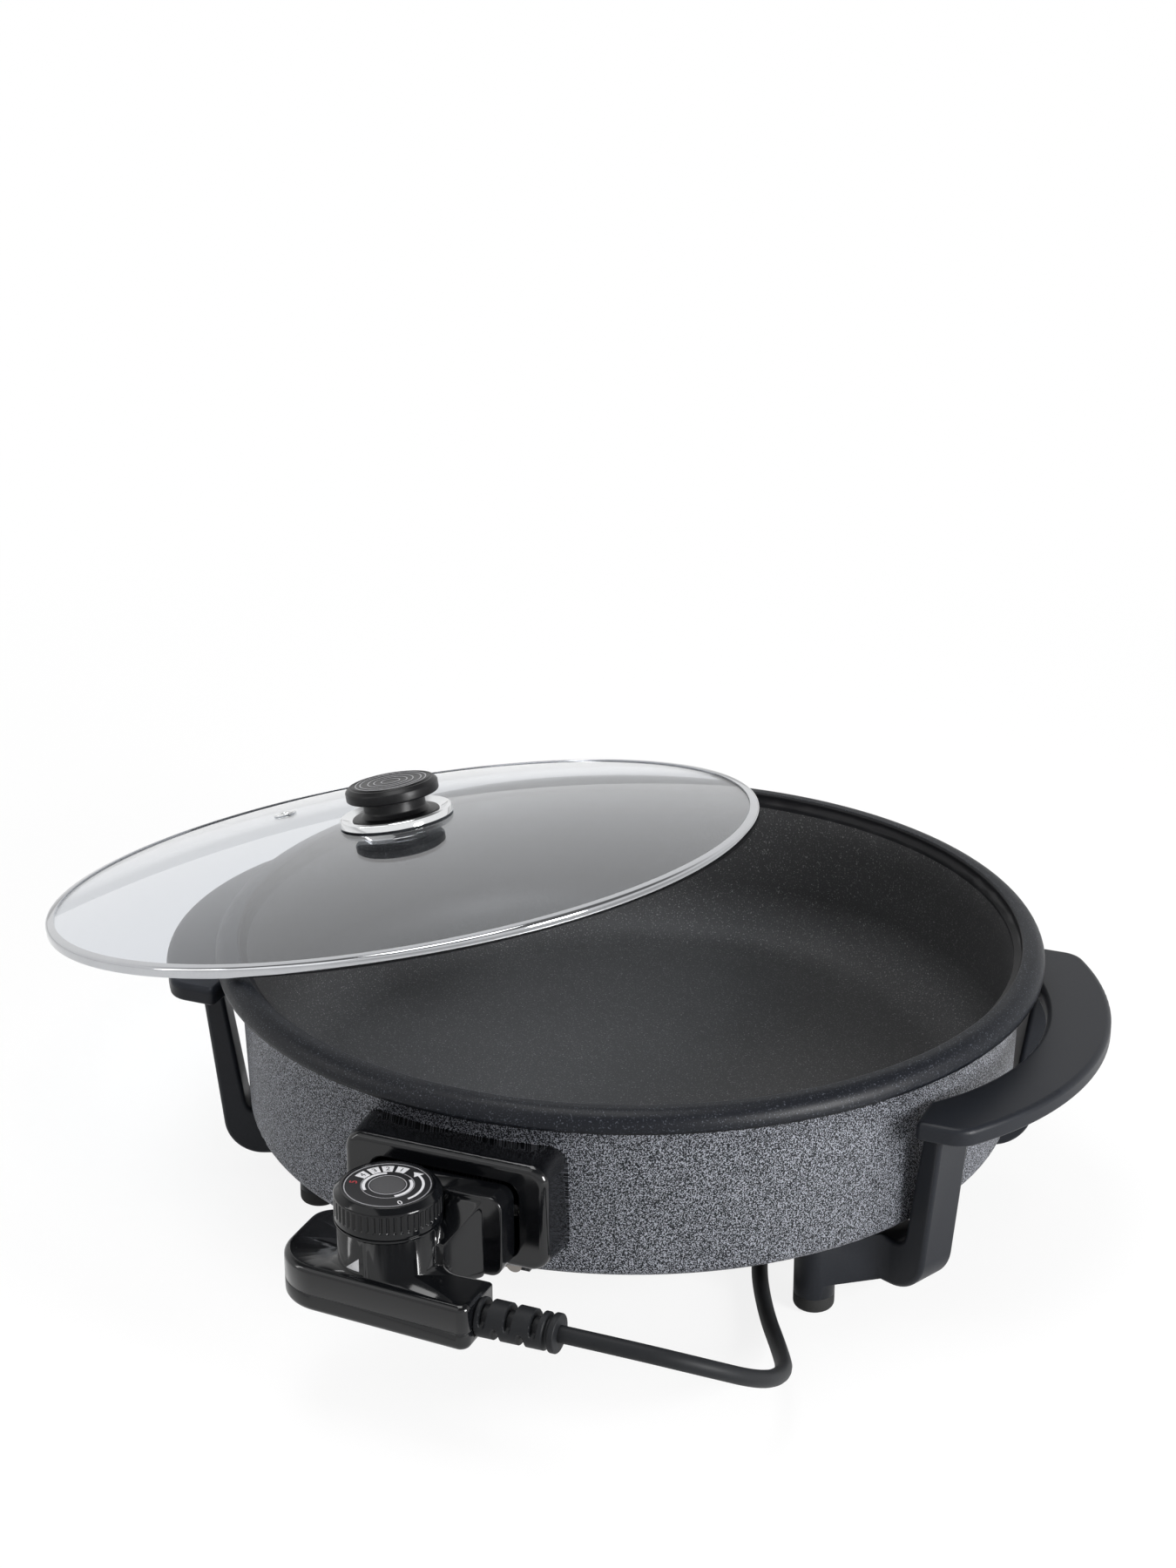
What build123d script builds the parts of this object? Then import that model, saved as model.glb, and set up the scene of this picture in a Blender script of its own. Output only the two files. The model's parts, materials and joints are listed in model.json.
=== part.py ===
from build123d import *
import os
from math import atan2, ceil, cos, degrees, hypot, pi, radians, sin, sqrt, tan

# Round electric cooking pan with a loose glass lid and a plug-in thermostat control.
# Millimetres. The origin is on the table under the pan's axis, +X runs through the right
# handle, the control sits at -Y and +Z is up.

# Fits
press_fit = 0.05
screw_hole_fit = 0.2

# Pan casting
rim_radius = 210.0
rim_round = 8.0
rim_depth = 9.5
rim_overhang = 11.0
pan_bottom = 48.0
wall_height = 82.0
wall_taper = 3.0
wall_corner = 6.0
wall_thickness = 4.6
base_thickness = 5.0
bowl_round = 32.0
bowl_draft = 1.0
seat_ledge = 3.6
seat_depth = 5.5
seat_round = 1.5

# Heating element and the ridge that carries it
element_radius = 4.0
element_ring_radius = 122.0
element_bend = 14.0
element_leg_spacing = 32.0
element_leg_inset = 12.0
ridge_width = 16.0
ridge_depth = 6.0

# Terminals and socket housing; the socket sits a little left of the handles' middle
socket_x = -4.0
socket_rise = 39.0
terminal_spacing = 32.0
terminal_radius = 2.5
terminal_length = 8.0
terminal_seat = 7.0
terminal_chamfer = 0.6
pad_width = 58.0
pad_height = 34.0
pad_rise = 7.0
sensor_wall = 0.6
housing_reach = 10.0
housing_depth = 31.0
housing_front_width = 101.0
housing_front_drop = 24.0
housing_front_rise = 28.5
housing_flare = 1.0
housing_flare_down = 3.0
housing_flare_up = 1.5
housing_corner = 9.0
housing_edge = 4.0
mouth_width = 74.0
mouth_height = 38.0
mouth_corner = 7.0
mouth_edge = 0.8
housing_fit = 0.15
housing_screw_radius = 1.5
housing_screw_head = 2.8
housing_screw_head_height = 2.0
housing_screw_grip = 3.0
screw_slot_length = 3.6
screw_slot_width = 0.8
screw_slot_depth = 1.2

# Handles with their legs, and the feet
grip_drop = 24.5
grip_thickness = 9.0
grip_round = 3.0
grip_outer_radius = 168.0
grip_stand_off = 36.0
grip_inner_radius = 128.0
grip_width = 31.5
grip_half_length = 107.0
grip_end_width = 62.0
grip_corner = 14.0
grip_tip_round = 3.0
leg_angle = 24.0
leg_width = 23.0
leg_gap = 7.0
leg_thickness = 10.5
leg_lean = 10.0
leg_corner = 20.0
leg_inner_round = 7.0
leg_edge = 2.5
web_low = 15.5
web_high = 40.0
web_root = 24.0
web_root_length = 12.0
wall_clearance = 2.0
post_x = 134.0
post_y = 94.0
post_radius = 10.0
foot_height = 8.0
foot_round = 3.0
foot_stem_length = 6.0
foot_fit = 0.1
bore_radius = 5.0
bore_top = 28.0
screw_radius = 2.5
screw_head_fit = 0.4
screw_head_height = 4.0
screw_grip = 9.0
boss_radius = 9.0

# Lid
lid_clearance = 1.5
band_width = 6.5
band_height = 7.4
band_lip = 1.2
glass_inset = 1.5
glass_edge = 1.2
glass_thickness = 4.0
dome_height = 21.0
knob_hole = 5.0
vent_hole = 4.0
vent_x = 103.0
vent_y = -6.5
vent_flange = 6.5
eyelet_wall = 1.35
eyelet_flange = 1.0
eyelet_round = 0.4
dish_radius = 31.5
dish_height = 4.5
dish_rim = 5.0
dish_web = 2.0
dish_lip = 1.5
dish_edge = 0.5
dish_hollow = 1.0
dish_gap = 1.5
cap_radius = 25.5
cap_thickness = 8.0
cap_bevel = 3.0
cap_edge = 1.0
cap_shoulder = 0.5
neck_radius = 17.0
neck_flare = 2.0
knob_height = 21.0
groove_radii = [7.0, 12.0, 16.5]
groove_depth = 0.6
gasket_radius = 22.0
gasket_thickness = 2.0
gasket_round = 0.6
lid_screw_radius = 3.0
lid_screw_head = 8.0
lid_screw_head_height = 3.0
lid_screw_round = 1.0
lid_screw_grip = 10.5
lid_screw_clearance = 1.0
lid_inset = 44.0
lid_direction = 160.0
lid_gap = 0.3
lid_mass_height = 12.0
least_tilt = 2.0
most_tilt = 26.0
tilt_step = 0.02
rim_round_steps = 6
rim_half_steps = 1440
contact_passes = 3

# Thermostat control; widths count from the socket's axis
body_gap = 1.0
body_depth = 60.0
body_left = 62.0
body_right = 39.0
body_right_depth = 28.0
body_step = 25.0
body_drop = 33.0
deck_drop = 11.0
parting_rise = 9.0
shell = 2.5
end_round = 24.0
rear_round = 12.0
front_round = 5.0
front_slant = 6.0
step_round = 10.0
body_edge = 3.0
neck_gap = 0.4
neck_width = 70.0
neck_drop = 21.5
neck_rise = 18.0
neck_depth = 14.0
neck_corner = 6.0
neck_edge = 1.0
nose_width = 66.0
nose_height = 32.0
nose_reach = 8.5
nose_root = 1.0
nose_corner = 5.0
sleeve_radius = 4.0
sleeve_length = 15.0
sleeve_fit = 0.1
probe_radius = 3.0
probe_fit = 0.2
probe_reach = 9.5
probe_tail = 20.0
dial_offset = 13.0
dial_setback = 29.0
dial_radius = 24.4
dial_top_radius = 21.4
dial_height = 16.6
dial_gap = 0.4
dial_clearance = 1.1
dial_skirt = 4.6
dial_shoulder = 3.4
dial_edge = 0.5
ring_groove = 0.7
ring_rise = 1.2
flute_count = 48
flute_radius = 1.05
flute_offset = 0.35
stage_height = 18.2
stage_radius = 23.2
shoulder_inset = 8.5
shoulder_drop = 2.0
shoulder_end = 3.5
shoulder_rise = 9.0
shoulder_round = 4.0
spindle_radius = 3.0
spindle_gap = 0.2
spindle_grip = 10.0
spindle_end_gap = 0.5
plate_radius = 20.1
plate_thickness = 0.8
plate_recess = 0.4
switch_length = 36.0
switch_width = 24.0
switch_height = 15.0
switch_chamfer = 2.0
shell_screw_radius = 1.5
shell_screw_head = 3.0
shell_screw_head_height = 2.0
shell_screw_end_gap = 2.0
shell_post_radius = 3.5

# Strain relief, cord, coil and plug
relief_inset = 15.0
relief_rise = 11.0
relief_length = 38.0
relief_radius = 9.0
relief_taper = 0.4
relief_gap = 0.1
relief_stem = 5.5
relief_stem_fit = 0.1
relief_flange = 7.5
relief_flange_thickness = 2.0
relief_flange_gap = 0.2
collar_length = 3.0
collar_waist = 2.0
collar_groove = 3.0
slot_count = 5
slot_width = 3.4
slot_core = 5.8
slot_start = 2.5
slot_span = 30.0
slot_side = 2.4
cord_radius = 4.0
cord_route = [
    (73.0, -262.0, 65.0),
    (106.0, -262.0, 65.0),
    (136.0, -251.0, 57.0),
    (154.0, -225.0, 39.0),
    (152.0, -188.0, 21.0),
    (137.0, -152.0, 8.0),
    (117.0, -116.0, 4.2),
    (98.0, -74.0, 4.2),
    (87.0, -25.0, 4.2),
    (80.0, 25.0, 4.2),
    (70.0, 75.0, 4.2),
    (56.0, 123.0, 4.2),
    (43.0, 168.0, 4.5),
    (38.0, 208.0, 5.4),
    (38.0, 246.0, 5.4),
]
coil_x = -12.0
coil_y = 254.0
coil_rest = 5.4
coil_radius = 50.0
coil_step = 8.7
coil_turns = 2.25
coil_reversal = 1.25
tie_turn = 0.75
tie_thickness = 0.9
tie_width = 6.0
tie_gap = 0.35
tail_route = [
    (-20.0, 301.8, 14.1),
    (-35.0, 301.8, 14.1),
    (-52.0, 303.0, 16.6),
    (-68.0, 303.0, 18.9),
    (-80.0, 303.0, 18.9),
]
plug_radius = 18.5
plug_grip_radius = 13.0
plug_neck_radius = 7.0
plug_length = 44.0
plug_sleeve = 18.0
plug_flange = 16.0
plug_shoulder = 5.0
plug_pin_radius = 2.4
plug_pin_length = 19.0
plug_pin_seat = 12.0
plug_pin_spacing = 19.0

os.makedirs("parts", exist_ok=True)


def save(piece, name):
    """Label a finished piece and write it as its own file."""
    piece.part.label = name
    export_step(piece.part, f"parts/{name}.step")


def upright(plane):
    """The plane through a placed part's axis, for profiles that are revolved about it."""
    return Plane(origin=plane.origin, x_dir=plane.x_dir, z_dir=-plane.y_dir)


def axis_of(plane):
    return Axis(plane.origin, plane.z_dir)


# Pan casting: bowl, rim with its lid seat, element ridge, terminal pad and foot bosses
rim_under = pan_bottom + wall_height
pan_top = rim_under + rim_depth
seat_z = pan_top - seat_depth
base_top = pan_bottom + base_thickness
wall_top_radius = rim_radius - rim_overhang
wall_bottom_radius = wall_top_radius - wall_taper
bowl_radius = wall_top_radius - wall_thickness
seat_radius = bowl_radius + seat_ledge
socket_axis_z = pan_bottom + socket_rise
pad_face = wall_top_radius + pad_rise
sensor_depth = pad_face - bowl_radius - sensor_wall
wall_radius_at_socket = wall_bottom_radius + wall_taper * socket_rise / wall_height
housing_screw_x = (pad_width + mouth_width) / 4
housing_screw_ends = {
    x: sqrt(wall_radius_at_socket**2 - x**2) - housing_screw_grip
    for x in (socket_x - housing_screw_x, socket_x + housing_screw_x)
}
housing_screw_places = [(x, socket_axis_z) for x in housing_screw_ends]


def element_line(height):
    """Centre line of the heating element at a height: a horseshoe with two straight ends."""
    leg_x = element_leg_spacing / 2
    leg_end = wall_bottom_radius - element_leg_inset
    turn_x = leg_x + element_bend
    turn_y = -sqrt((element_ring_radius + element_bend) ** 2 - turn_x**2)
    turn_angle = degrees(atan2(turn_y, turn_x))
    with BuildLine(Plane.XY.offset(height)) as line:
        Line((leg_x, -leg_end), (leg_x, turn_y))
        CenterArc((turn_x, turn_y), element_bend, 180, turn_angle)
        CenterArc((0, 0), element_ring_radius, turn_angle, 180 - 2 * turn_angle)
        CenterArc((-turn_x, turn_y), element_bend, -turn_angle, turn_angle)
        Line((-leg_x, turn_y), (-leg_x, -leg_end))
    return line.wire()


element_path = element_line(pan_bottom - element_radius)
ridge_path = element_line(0)
post_places = [(x, y) for x in (-post_x, post_x) for y in (-post_y, post_y)]

with BuildPart() as pan:
    with BuildSketch(Plane.XZ) as pan_section:
        with BuildLine():
            Polyline(
                (0, pan_bottom),
                (wall_bottom_radius, pan_bottom),
                (wall_top_radius, rim_under),
                (rim_radius, rim_under),
                (rim_radius, pan_top),
                (seat_radius, pan_top),
                (seat_radius, seat_z),
                (bowl_radius, seat_z),
                (bowl_radius - bowl_draft, base_top),
                (0, base_top),
                close=True,
            )
        make_face()
        for corner, radius in (
            ((wall_bottom_radius, pan_bottom), wall_corner),
            ((rim_radius, pan_top), rim_round),
            ((bowl_radius - bowl_draft, base_top), bowl_round),
            ((seat_radius, pan_top), seat_round),
        ):
            fillet(pan_section.vertices().sort_by_distance(corner)[0], radius)
    revolve(axis=Axis.Z)
    with BuildSketch(Plane.XY.offset(pan_bottom)):
        trace(ridge_path, ridge_width)
    extrude(amount=-ridge_depth)
    with Locations((socket_x, -(pad_face + bowl_radius) / 2, socket_axis_z)):
        Box(pad_width, pad_face - bowl_radius, pad_height)
    with Locations(*[(x, y, (web_high + pan_bottom) / 2) for x, y in post_places]):
        Cylinder(boss_radius, pan_bottom - web_high)
    with BuildSketch(Plane(element_path @ 0, z_dir=element_path % 0)):
        Circle(element_radius + press_fit)
    sweep(path=element_path, mode=Mode.SUBTRACT)
    with Locations(*[Location((x, y, web_high), (180, 0, 0)) for x, y in post_places]):
        Hole(screw_radius + press_fit, screw_grip + press_fit)
    with Locations(Location((socket_x, -pad_face, socket_axis_z), (90, 0, 0))):
        Hole(probe_radius + probe_fit, sensor_depth)
        with GridLocations(terminal_spacing, 1, 2, 1):
            Hole(terminal_radius, terminal_seat)
    for x, end in housing_screw_ends.items():
        with BuildSketch(Plane.XZ.offset(end - press_fit)):
            with Locations((x, socket_axis_z)):
                Circle(housing_screw_radius + press_fit)
        extrude(amount=2 * housing_screw_grip, mode=Mode.SUBTRACT)
save(pan, "pan")

# Heating element: one tube bent to a horseshoe, pressed up into the ridge
with BuildPart() as heating_element:
    with BuildSketch(Plane(element_path @ 0, z_dir=element_path % 0)):
        Circle(element_radius)
    sweep(path=element_path)
save(heating_element, "heating_element")

# Terminal pins, seated in the pad beside the sensor bore
terminal_plane = Plane(origin=(socket_x, -pad_face, socket_axis_z), x_dir=(1, 0, 0), z_dir=(0, -1, 0))
with BuildPart() as terminal_pins:
    with BuildSketch(terminal_plane.offset(-terminal_seat)):
        with GridLocations(terminal_spacing, 1, 2, 1):
            Circle(terminal_radius)
    extrude(amount=terminal_seat + terminal_length)
    chamfer(terminal_pins.faces().sort_by(Axis.Y)[:2].edges(), terminal_chamfer)
save(terminal_pins, "terminal_pins")


def wall_envelope(clearance):
    """A solid the size of the pan's outside below the rim, grown by a clearance."""
    with BuildPart() as envelope:
        with BuildSketch(Plane.XZ):
            Polygon(
                (0, pan_bottom - clearance),
                (wall_bottom_radius + clearance, pan_bottom - clearance),
                (wall_top_radius + clearance, rim_under + clearance),
                (0, rim_under + clearance),
                align=None,
            )
        revolve(axis=Axis.Z)
    return envelope.part


# Socket housing: a deep frame whose floor round the terminal pad is screwed to the pan's wall
housing_face = pad_face + housing_reach
housing_rear = housing_face - housing_depth
housing_low = socket_axis_z - housing_front_drop
housing_high = socket_axis_z + housing_front_rise
housing_rear_low = housing_low - housing_flare_down
housing_rear_high = housing_high + housing_flare_up
housing_rear_width = housing_front_width + 2 * housing_flare
front_plane = Plane(origin=(0, -housing_face, 0), x_dir=(1, 0, 0), z_dir=(0, -1, 0))
floor_plane = Plane(origin=(0, -pad_face, 0), x_dir=(1, 0, 0), z_dir=(0, -1, 0))
rear_plane = Plane(origin=(0, -housing_rear, 0), x_dir=(1, 0, 0), z_dir=(0, -1, 0))
with BuildPart() as socket_housing:
    with BuildSketch(rear_plane):
        with Locations((socket_x, (housing_rear_low + housing_rear_high) / 2)):
            RectangleRounded(housing_rear_width, housing_rear_high - housing_rear_low, housing_corner)
    with BuildSketch(front_plane):
        with Locations((socket_x, (housing_low + housing_high) / 2)):
            RectangleRounded(housing_front_width, housing_high - housing_low, housing_corner)
    loft()
    fillet(socket_housing.faces().sort_by(Axis.Y)[0].edges(), housing_edge)
    with BuildSketch(front_plane):
        with Locations((socket_x, socket_axis_z)):
            RectangleRounded(mouth_width, mouth_height, mouth_corner)
    extrude(amount=-housing_reach, mode=Mode.SUBTRACT)
    fillet(socket_housing.faces().sort_by(Axis.Y)[0].inner_wires()[0].edges(), mouth_edge)
    with BuildSketch(floor_plane):
        with Locations((socket_x, socket_axis_z)):
            Rectangle(pad_width + 2 * housing_fit, pad_height + 2 * housing_fit)
    extrude(amount=-(pad_face - housing_rear), mode=Mode.SUBTRACT)
    add(wall_envelope(housing_fit), mode=Mode.SUBTRACT)
    with Locations(floor_plane):
        with Locations(*housing_screw_places):
            CounterBoreHole(
                housing_screw_radius + screw_hole_fit,
                housing_screw_head + screw_hole_fit,
                housing_screw_head_height,
                pad_face - housing_rear,
            )
save(socket_housing, "socket_housing")

with BuildPart() as housing_screws:
    for x, end in housing_screw_ends.items():
        with BuildSketch(Plane.XZ.offset(end)):
            with Locations((x, socket_axis_z)):
                Circle(housing_screw_radius)
        extrude(amount=pad_face - housing_screw_head_height - end)
    with BuildSketch(Plane.XZ.offset(pad_face - housing_screw_head_height)):
        with Locations(*housing_screw_places):
            Circle(housing_screw_head)
    extrude(amount=housing_screw_head_height)
    with BuildSketch(Plane.XZ.offset(pad_face)):
        with Locations(*housing_screw_places):
            Rectangle(screw_slot_length, screw_slot_width)
            Rectangle(screw_slot_width, screw_slot_length)
    extrude(amount=-screw_slot_depth, mode=Mode.SUBTRACT)
save(housing_screws, "housing_screws")


# Handles: a grip plate, two leaning legs that face outwards, webs under the pan and foot posts
grip_top = pan_top - grip_drop
grip_low = grip_top - grip_thickness
grip_outer_reach = rim_radius + grip_stand_off
grip_inner_reach = grip_outer_reach - grip_width
grip_end_x = grip_outer_reach - grip_end_width
outer_centre = grip_outer_reach - grip_outer_radius
inner_centre = grip_inner_reach - grip_inner_radius
leg_top_inner = wall_top_radius + wall_clearance + leg_gap
leg_bottom_inner = leg_top_inner - leg_lean
web_root_x = leg_bottom_inner + leg_thickness - web_root

with BuildPart() as leg:
    with BuildSketch(Plane.XZ) as leg_section:
        with BuildLine():
            Polyline(
                (leg_top_inner, grip_low + grip_round),
                (leg_top_inner + leg_thickness, grip_low + grip_round),
                (leg_bottom_inner + leg_thickness, web_low),
                (web_root_x - web_root_length, web_low),
                (web_root_x - web_root_length, web_high),
                (leg_bottom_inner, web_high),
                close=True,
            )
        make_face()
        for corner, radius in (
            ((leg_bottom_inner + leg_thickness, web_low), leg_corner),
            ((leg_bottom_inner, web_high), leg_inner_round),
        ):
            fillet(leg_section.vertices().sort_by_distance(corner)[0], radius)
    extrude(amount=leg_width / 2, both=True)
    outer_edges = leg.faces().sort_by(Axis.Y)[0].edges() + leg.faces().sort_by(Axis.Y)[-1].edges()
    fillet(outer_edges.sort_by(Axis.X)[2:].sort_by(Axis.Z)[:-2], leg_edge)
front_leg = leg.part.rotate(Axis.Z, -leg_angle)

with BuildPart() as web:
    with BuildSketch(Plane.XY.offset(web_low)):
        with Locations((post_x, -post_y)):
            Circle(post_radius)
        with Locations(Location((0, 0, 0), (0, 0, -leg_angle))):
            with Locations((web_root_x - web_root_length / 2, 0)):
                Rectangle(web_root_length, leg_width - 2 * leg_edge)
        make_hull()
    extrude(amount=web_high - web_low)

with BuildPart() as right_handle:
    with BuildSketch(Plane.XY.offset(grip_low)) as grip_plan:
        with Locations((outer_centre, 0)):
            Circle(grip_outer_radius)
        with Locations((outer_centre, 0)):
            Rectangle(2 * grip_outer_radius, 2 * grip_half_length, mode=Mode.INTERSECT)
        with Locations((inner_centre, 0)):
            Circle(grip_inner_radius, mode=Mode.SUBTRACT)
        with Locations((grip_end_x, 0)):
            Rectangle(
                2 * grip_outer_reach,
                4 * grip_half_length,
                align=(Align.MAX, Align.CENTER),
                mode=Mode.SUBTRACT,
            )
    extrude(amount=grip_thickness)
    upright_edges = right_handle.edges().filter_by(Axis.Z).sort_by(Axis.Y)
    end_edges = (upright_edges[:2] + upright_edges[-2:]).sort_by(Axis.X)
    fillet(end_edges[2:], grip_corner)
    fillet(end_edges[:2], grip_tip_round)
    fillet(right_handle.faces().sort_by(Axis.Z)[-1].edges(), grip_round)
    fillet(right_handle.faces().sort_by(Axis.Z)[0].edges(), grip_round / 2)
    for piece in (front_leg, web.part):
        add(piece)
        mirror(piece, about=Plane.XZ)
    with Locations(*[(post_x, y, (foot_height + web_high) / 2) for y in (-post_y, post_y)]):
        Cylinder(post_radius, web_high - foot_height)
    add(wall_envelope(wall_clearance), mode=Mode.SUBTRACT)
    with Locations(*[Location((post_x, y, foot_height), (180, 0, 0)) for y in (-post_y, post_y)]):
        CounterBoreHole(
            screw_radius + screw_hole_fit,
            bore_radius,
            bore_top - foot_height,
            web_high - foot_height,
        )
save(right_handle, "right_handle")

with BuildPart() as left_handle:
    mirror(right_handle.part, about=Plane.YZ)
save(left_handle, "left_handle")

# Feet: rubber caps whose stems plug the screw bores, and the long screws above them
foot_sides = {"left": -post_x, "right": post_x}
foot_ends = {"front": -post_y, "back": post_y}
for end, foot_y in foot_ends.items():
    for side, foot_x in foot_sides.items():
        with BuildPart() as foot:
            with BuildSketch(Plane((foot_x, foot_y, 0))):
                Circle(post_radius)
            extrude(amount=foot_height)
            fillet(foot.faces().sort_by(Axis.Z)[0].edges(), foot_round)
            with BuildSketch(Plane((foot_x, foot_y, foot_height))):
                Circle(bore_radius - foot_fit)
            extrude(amount=foot_stem_length)
        save(foot, f"{end}_{side}_foot")

with BuildPart() as foot_screws:
    with BuildSketch(Plane.XY.offset(bore_top)):
        with Locations(*post_places):
            Circle(bore_radius - screw_head_fit)
    extrude(amount=-screw_head_height)
    with BuildSketch(Plane.XY.offset(bore_top)):
        with Locations(*post_places):
            Circle(screw_radius)
    extrude(amount=web_high + screw_grip - bore_top)
save(foot_screws, "foot_screws")

# Lid: it rests ajar, its band on the rim at two points and its glass on the rim beyond
band_radius = seat_radius - lid_clearance
band_inner = band_radius - band_width
glass_radius = band_radius - glass_inset
glass_sphere = (glass_radius**2 + dome_height**2) / (2 * dome_height)
lid_offset = rim_radius - lid_inset
rim_crown = rim_radius - rim_round
rim_profile = [(seat_radius + seat_round, pan_top)]
for step in range(rim_round_steps + 1):
    turn = pi / 2 * step / rim_round_steps
    rim_profile.append((rim_crown + rim_round * sin(turn), pan_top - rim_round + rim_round * cos(turn)))


def glass_low(r):
    """Height of the glass's underside above the band's bottom, at a radius."""
    return glass_edge + dome_height - glass_sphere + sqrt(glass_sphere**2 - r**2)


def lid_height(tilt):
    """Lowest height of the lid's centre, tipped by an angle, at which it clears the rim."""
    run = cos(radians(tilt))
    drop = sin(radians(tilt))
    highest = 0.0
    for rim_r, rim_z in rim_profile:
        for step in range(rim_half_steps):
            angle = pi * step / rim_half_steps
            along = rim_r * cos(angle) - lid_offset
            across = rim_r * sin(angle)
            height = rim_z + along * drop / run
            for attempt in range(contact_passes):
                local_x = along * run - (rim_z - height) * drop
                local_r = hypot(local_x, across)
                if local_r > band_radius:
                    break
                under = 0.0 if local_r > band_inner else glass_low(local_r)
                height = rim_z + (along * drop - under) / run
            else:
                highest = max(highest, height)
    return highest


low_tilt = least_tilt
high_tilt = most_tilt
while high_tilt - low_tilt > tilt_step:
    first = low_tilt + (high_tilt - low_tilt) / 3
    second = high_tilt - (high_tilt - low_tilt) / 3
    energy = [lid_height(t) + lid_mass_height * cos(radians(t)) for t in (first, second)]
    if energy[0] < energy[1]:
        high_tilt = second
    else:
        low_tilt = first
lid_tilt = (low_tilt + high_tilt) / 2
lid_z = lid_height(lid_tilt) + lid_gap
way = radians(lid_direction)
lean = radians(lid_tilt)
lid_plane = Plane(
    origin=(lid_offset * cos(way), lid_offset * sin(way), lid_z),
    x_dir=(cos(lean) * cos(way), cos(lean) * sin(way), -sin(lean)),
    z_dir=(sin(lean) * cos(way), sin(lean) * sin(way), cos(lean)),
)
print("lid tilt", round(lid_tilt, 2), "centre height", round(lid_z, 2))


lid_section = upright(lid_plane)
lid_axis = axis_of(lid_plane)
glass_top = glass_low(0) + glass_thickness


def dome(grow):
    """The glass dome, or the slot it sits in, grown by a fit."""
    outer = glass_radius + grow
    middle = glass_radius / 2
    top = glass_thickness + grow
    with BuildPart() as shape:
        with BuildSketch(lid_section):
            with BuildLine():
                low = ThreePointArc(
                    (0, glass_low(0) - grow),
                    (middle, glass_low(middle) - grow),
                    (outer, glass_low(outer) - grow),
                )
                high = ThreePointArc(
                    (0, glass_low(0) + top),
                    (middle, glass_low(middle) + top),
                    (outer, glass_low(outer) + top),
                )
                Line(low @ 1, high @ 1)
                Line(low @ 0, high @ 0)
            make_face()
        revolve(axis=lid_axis)
    return shape.part


vent_r = hypot(vent_x, vent_y)
vent_normal = lid_plane.x_dir * vent_x + lid_plane.y_dir * vent_y
vent_normal += lid_plane.z_dir * sqrt(glass_sphere**2 - vent_r**2)
vent_place = lid_plane.from_local_coords((vent_x, vent_y, glass_low(vent_r) + glass_thickness / 2))
vent_plane = Plane(origin=vent_place, z_dir=vent_normal)
with BuildPart() as lid_glass:
    add(dome(0))
    with BuildSketch(lid_plane):
        Circle(knob_hole)
    extrude(amount=2 * glass_top, mode=Mode.SUBTRACT)
    with BuildSketch(vent_plane):
        Circle(vent_hole)
    extrude(amount=glass_thickness, both=True, mode=Mode.SUBTRACT)
save(lid_glass, "lid_glass")

with BuildPart() as lid_band:
    with BuildSketch(lid_section) as band_section:
        with BuildLine():
            Polyline(
                (band_inner, 0),
                (band_radius, 0),
                (band_radius, band_height),
                (band_inner, band_height + band_lip / 2),
                close=True,
            )
        make_face()
        fillet(band_section.vertices().sort_by_distance((band_radius, 0))[0], band_lip)
        fillet(band_section.vertices().sort_by_distance((band_radius, band_height))[0], 2 * band_lip)
    revolve(axis=lid_axis)
    add(dome(press_fit), mode=Mode.SUBTRACT)
save(lid_band, "lid_band")

eyelet_radius = vent_hole - press_fit
eyelet_bore = eyelet_radius - eyelet_wall
eyelet_half = glass_thickness / 2 + press_fit
with BuildPart() as vent_eyelet:
    with BuildSketch(vent_plane.offset(-eyelet_half)):
        Circle(eyelet_radius)
    extrude(amount=2 * eyelet_half)
    for sign in (-1, 1):
        with BuildSketch(vent_plane.offset(sign * eyelet_half)):
            Circle(vent_flange)
        extrude(amount=sign * eyelet_flange)
    flange_rims = vent_eyelet.edges().filter_by(GeomType.CIRCLE).sort_by(SortBy.RADIUS)[-4:]
    fillet(flange_rims, eyelet_round)
    with BuildSketch(vent_plane):
        Circle(eyelet_bore)
    extrude(amount=2 * eyelet_half, both=True, mode=Mode.SUBTRACT)
save(vent_eyelet, "vent_eyelet")

# Lid knob: chrome dish, mushroom knob, gasket under the glass and the screw that clamps them
dish_low = glass_top + press_fit
dish_top = dish_low + dish_height
knob_bore = lid_screw_radius + press_fit
with BuildPart() as knob_dish:
    with BuildSketch(lid_section):
        with BuildLine():
            Polyline(
                (knob_bore, dish_low),
                (dish_radius - dish_rim, dish_low),
                (dish_radius, dish_top - dish_lip),
                (dish_radius, dish_top - dish_edge),
                (dish_radius - dish_edge, dish_top),
                (dish_radius - dish_rim, dish_top - dish_hollow),
                (neck_radius + neck_flare + dish_gap, dish_low + dish_web),
                (knob_bore, dish_low + dish_web),
                close=True,
            )
        make_face()
    revolve(axis=lid_axis)
save(knob_dish, "knob_dish")

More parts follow.
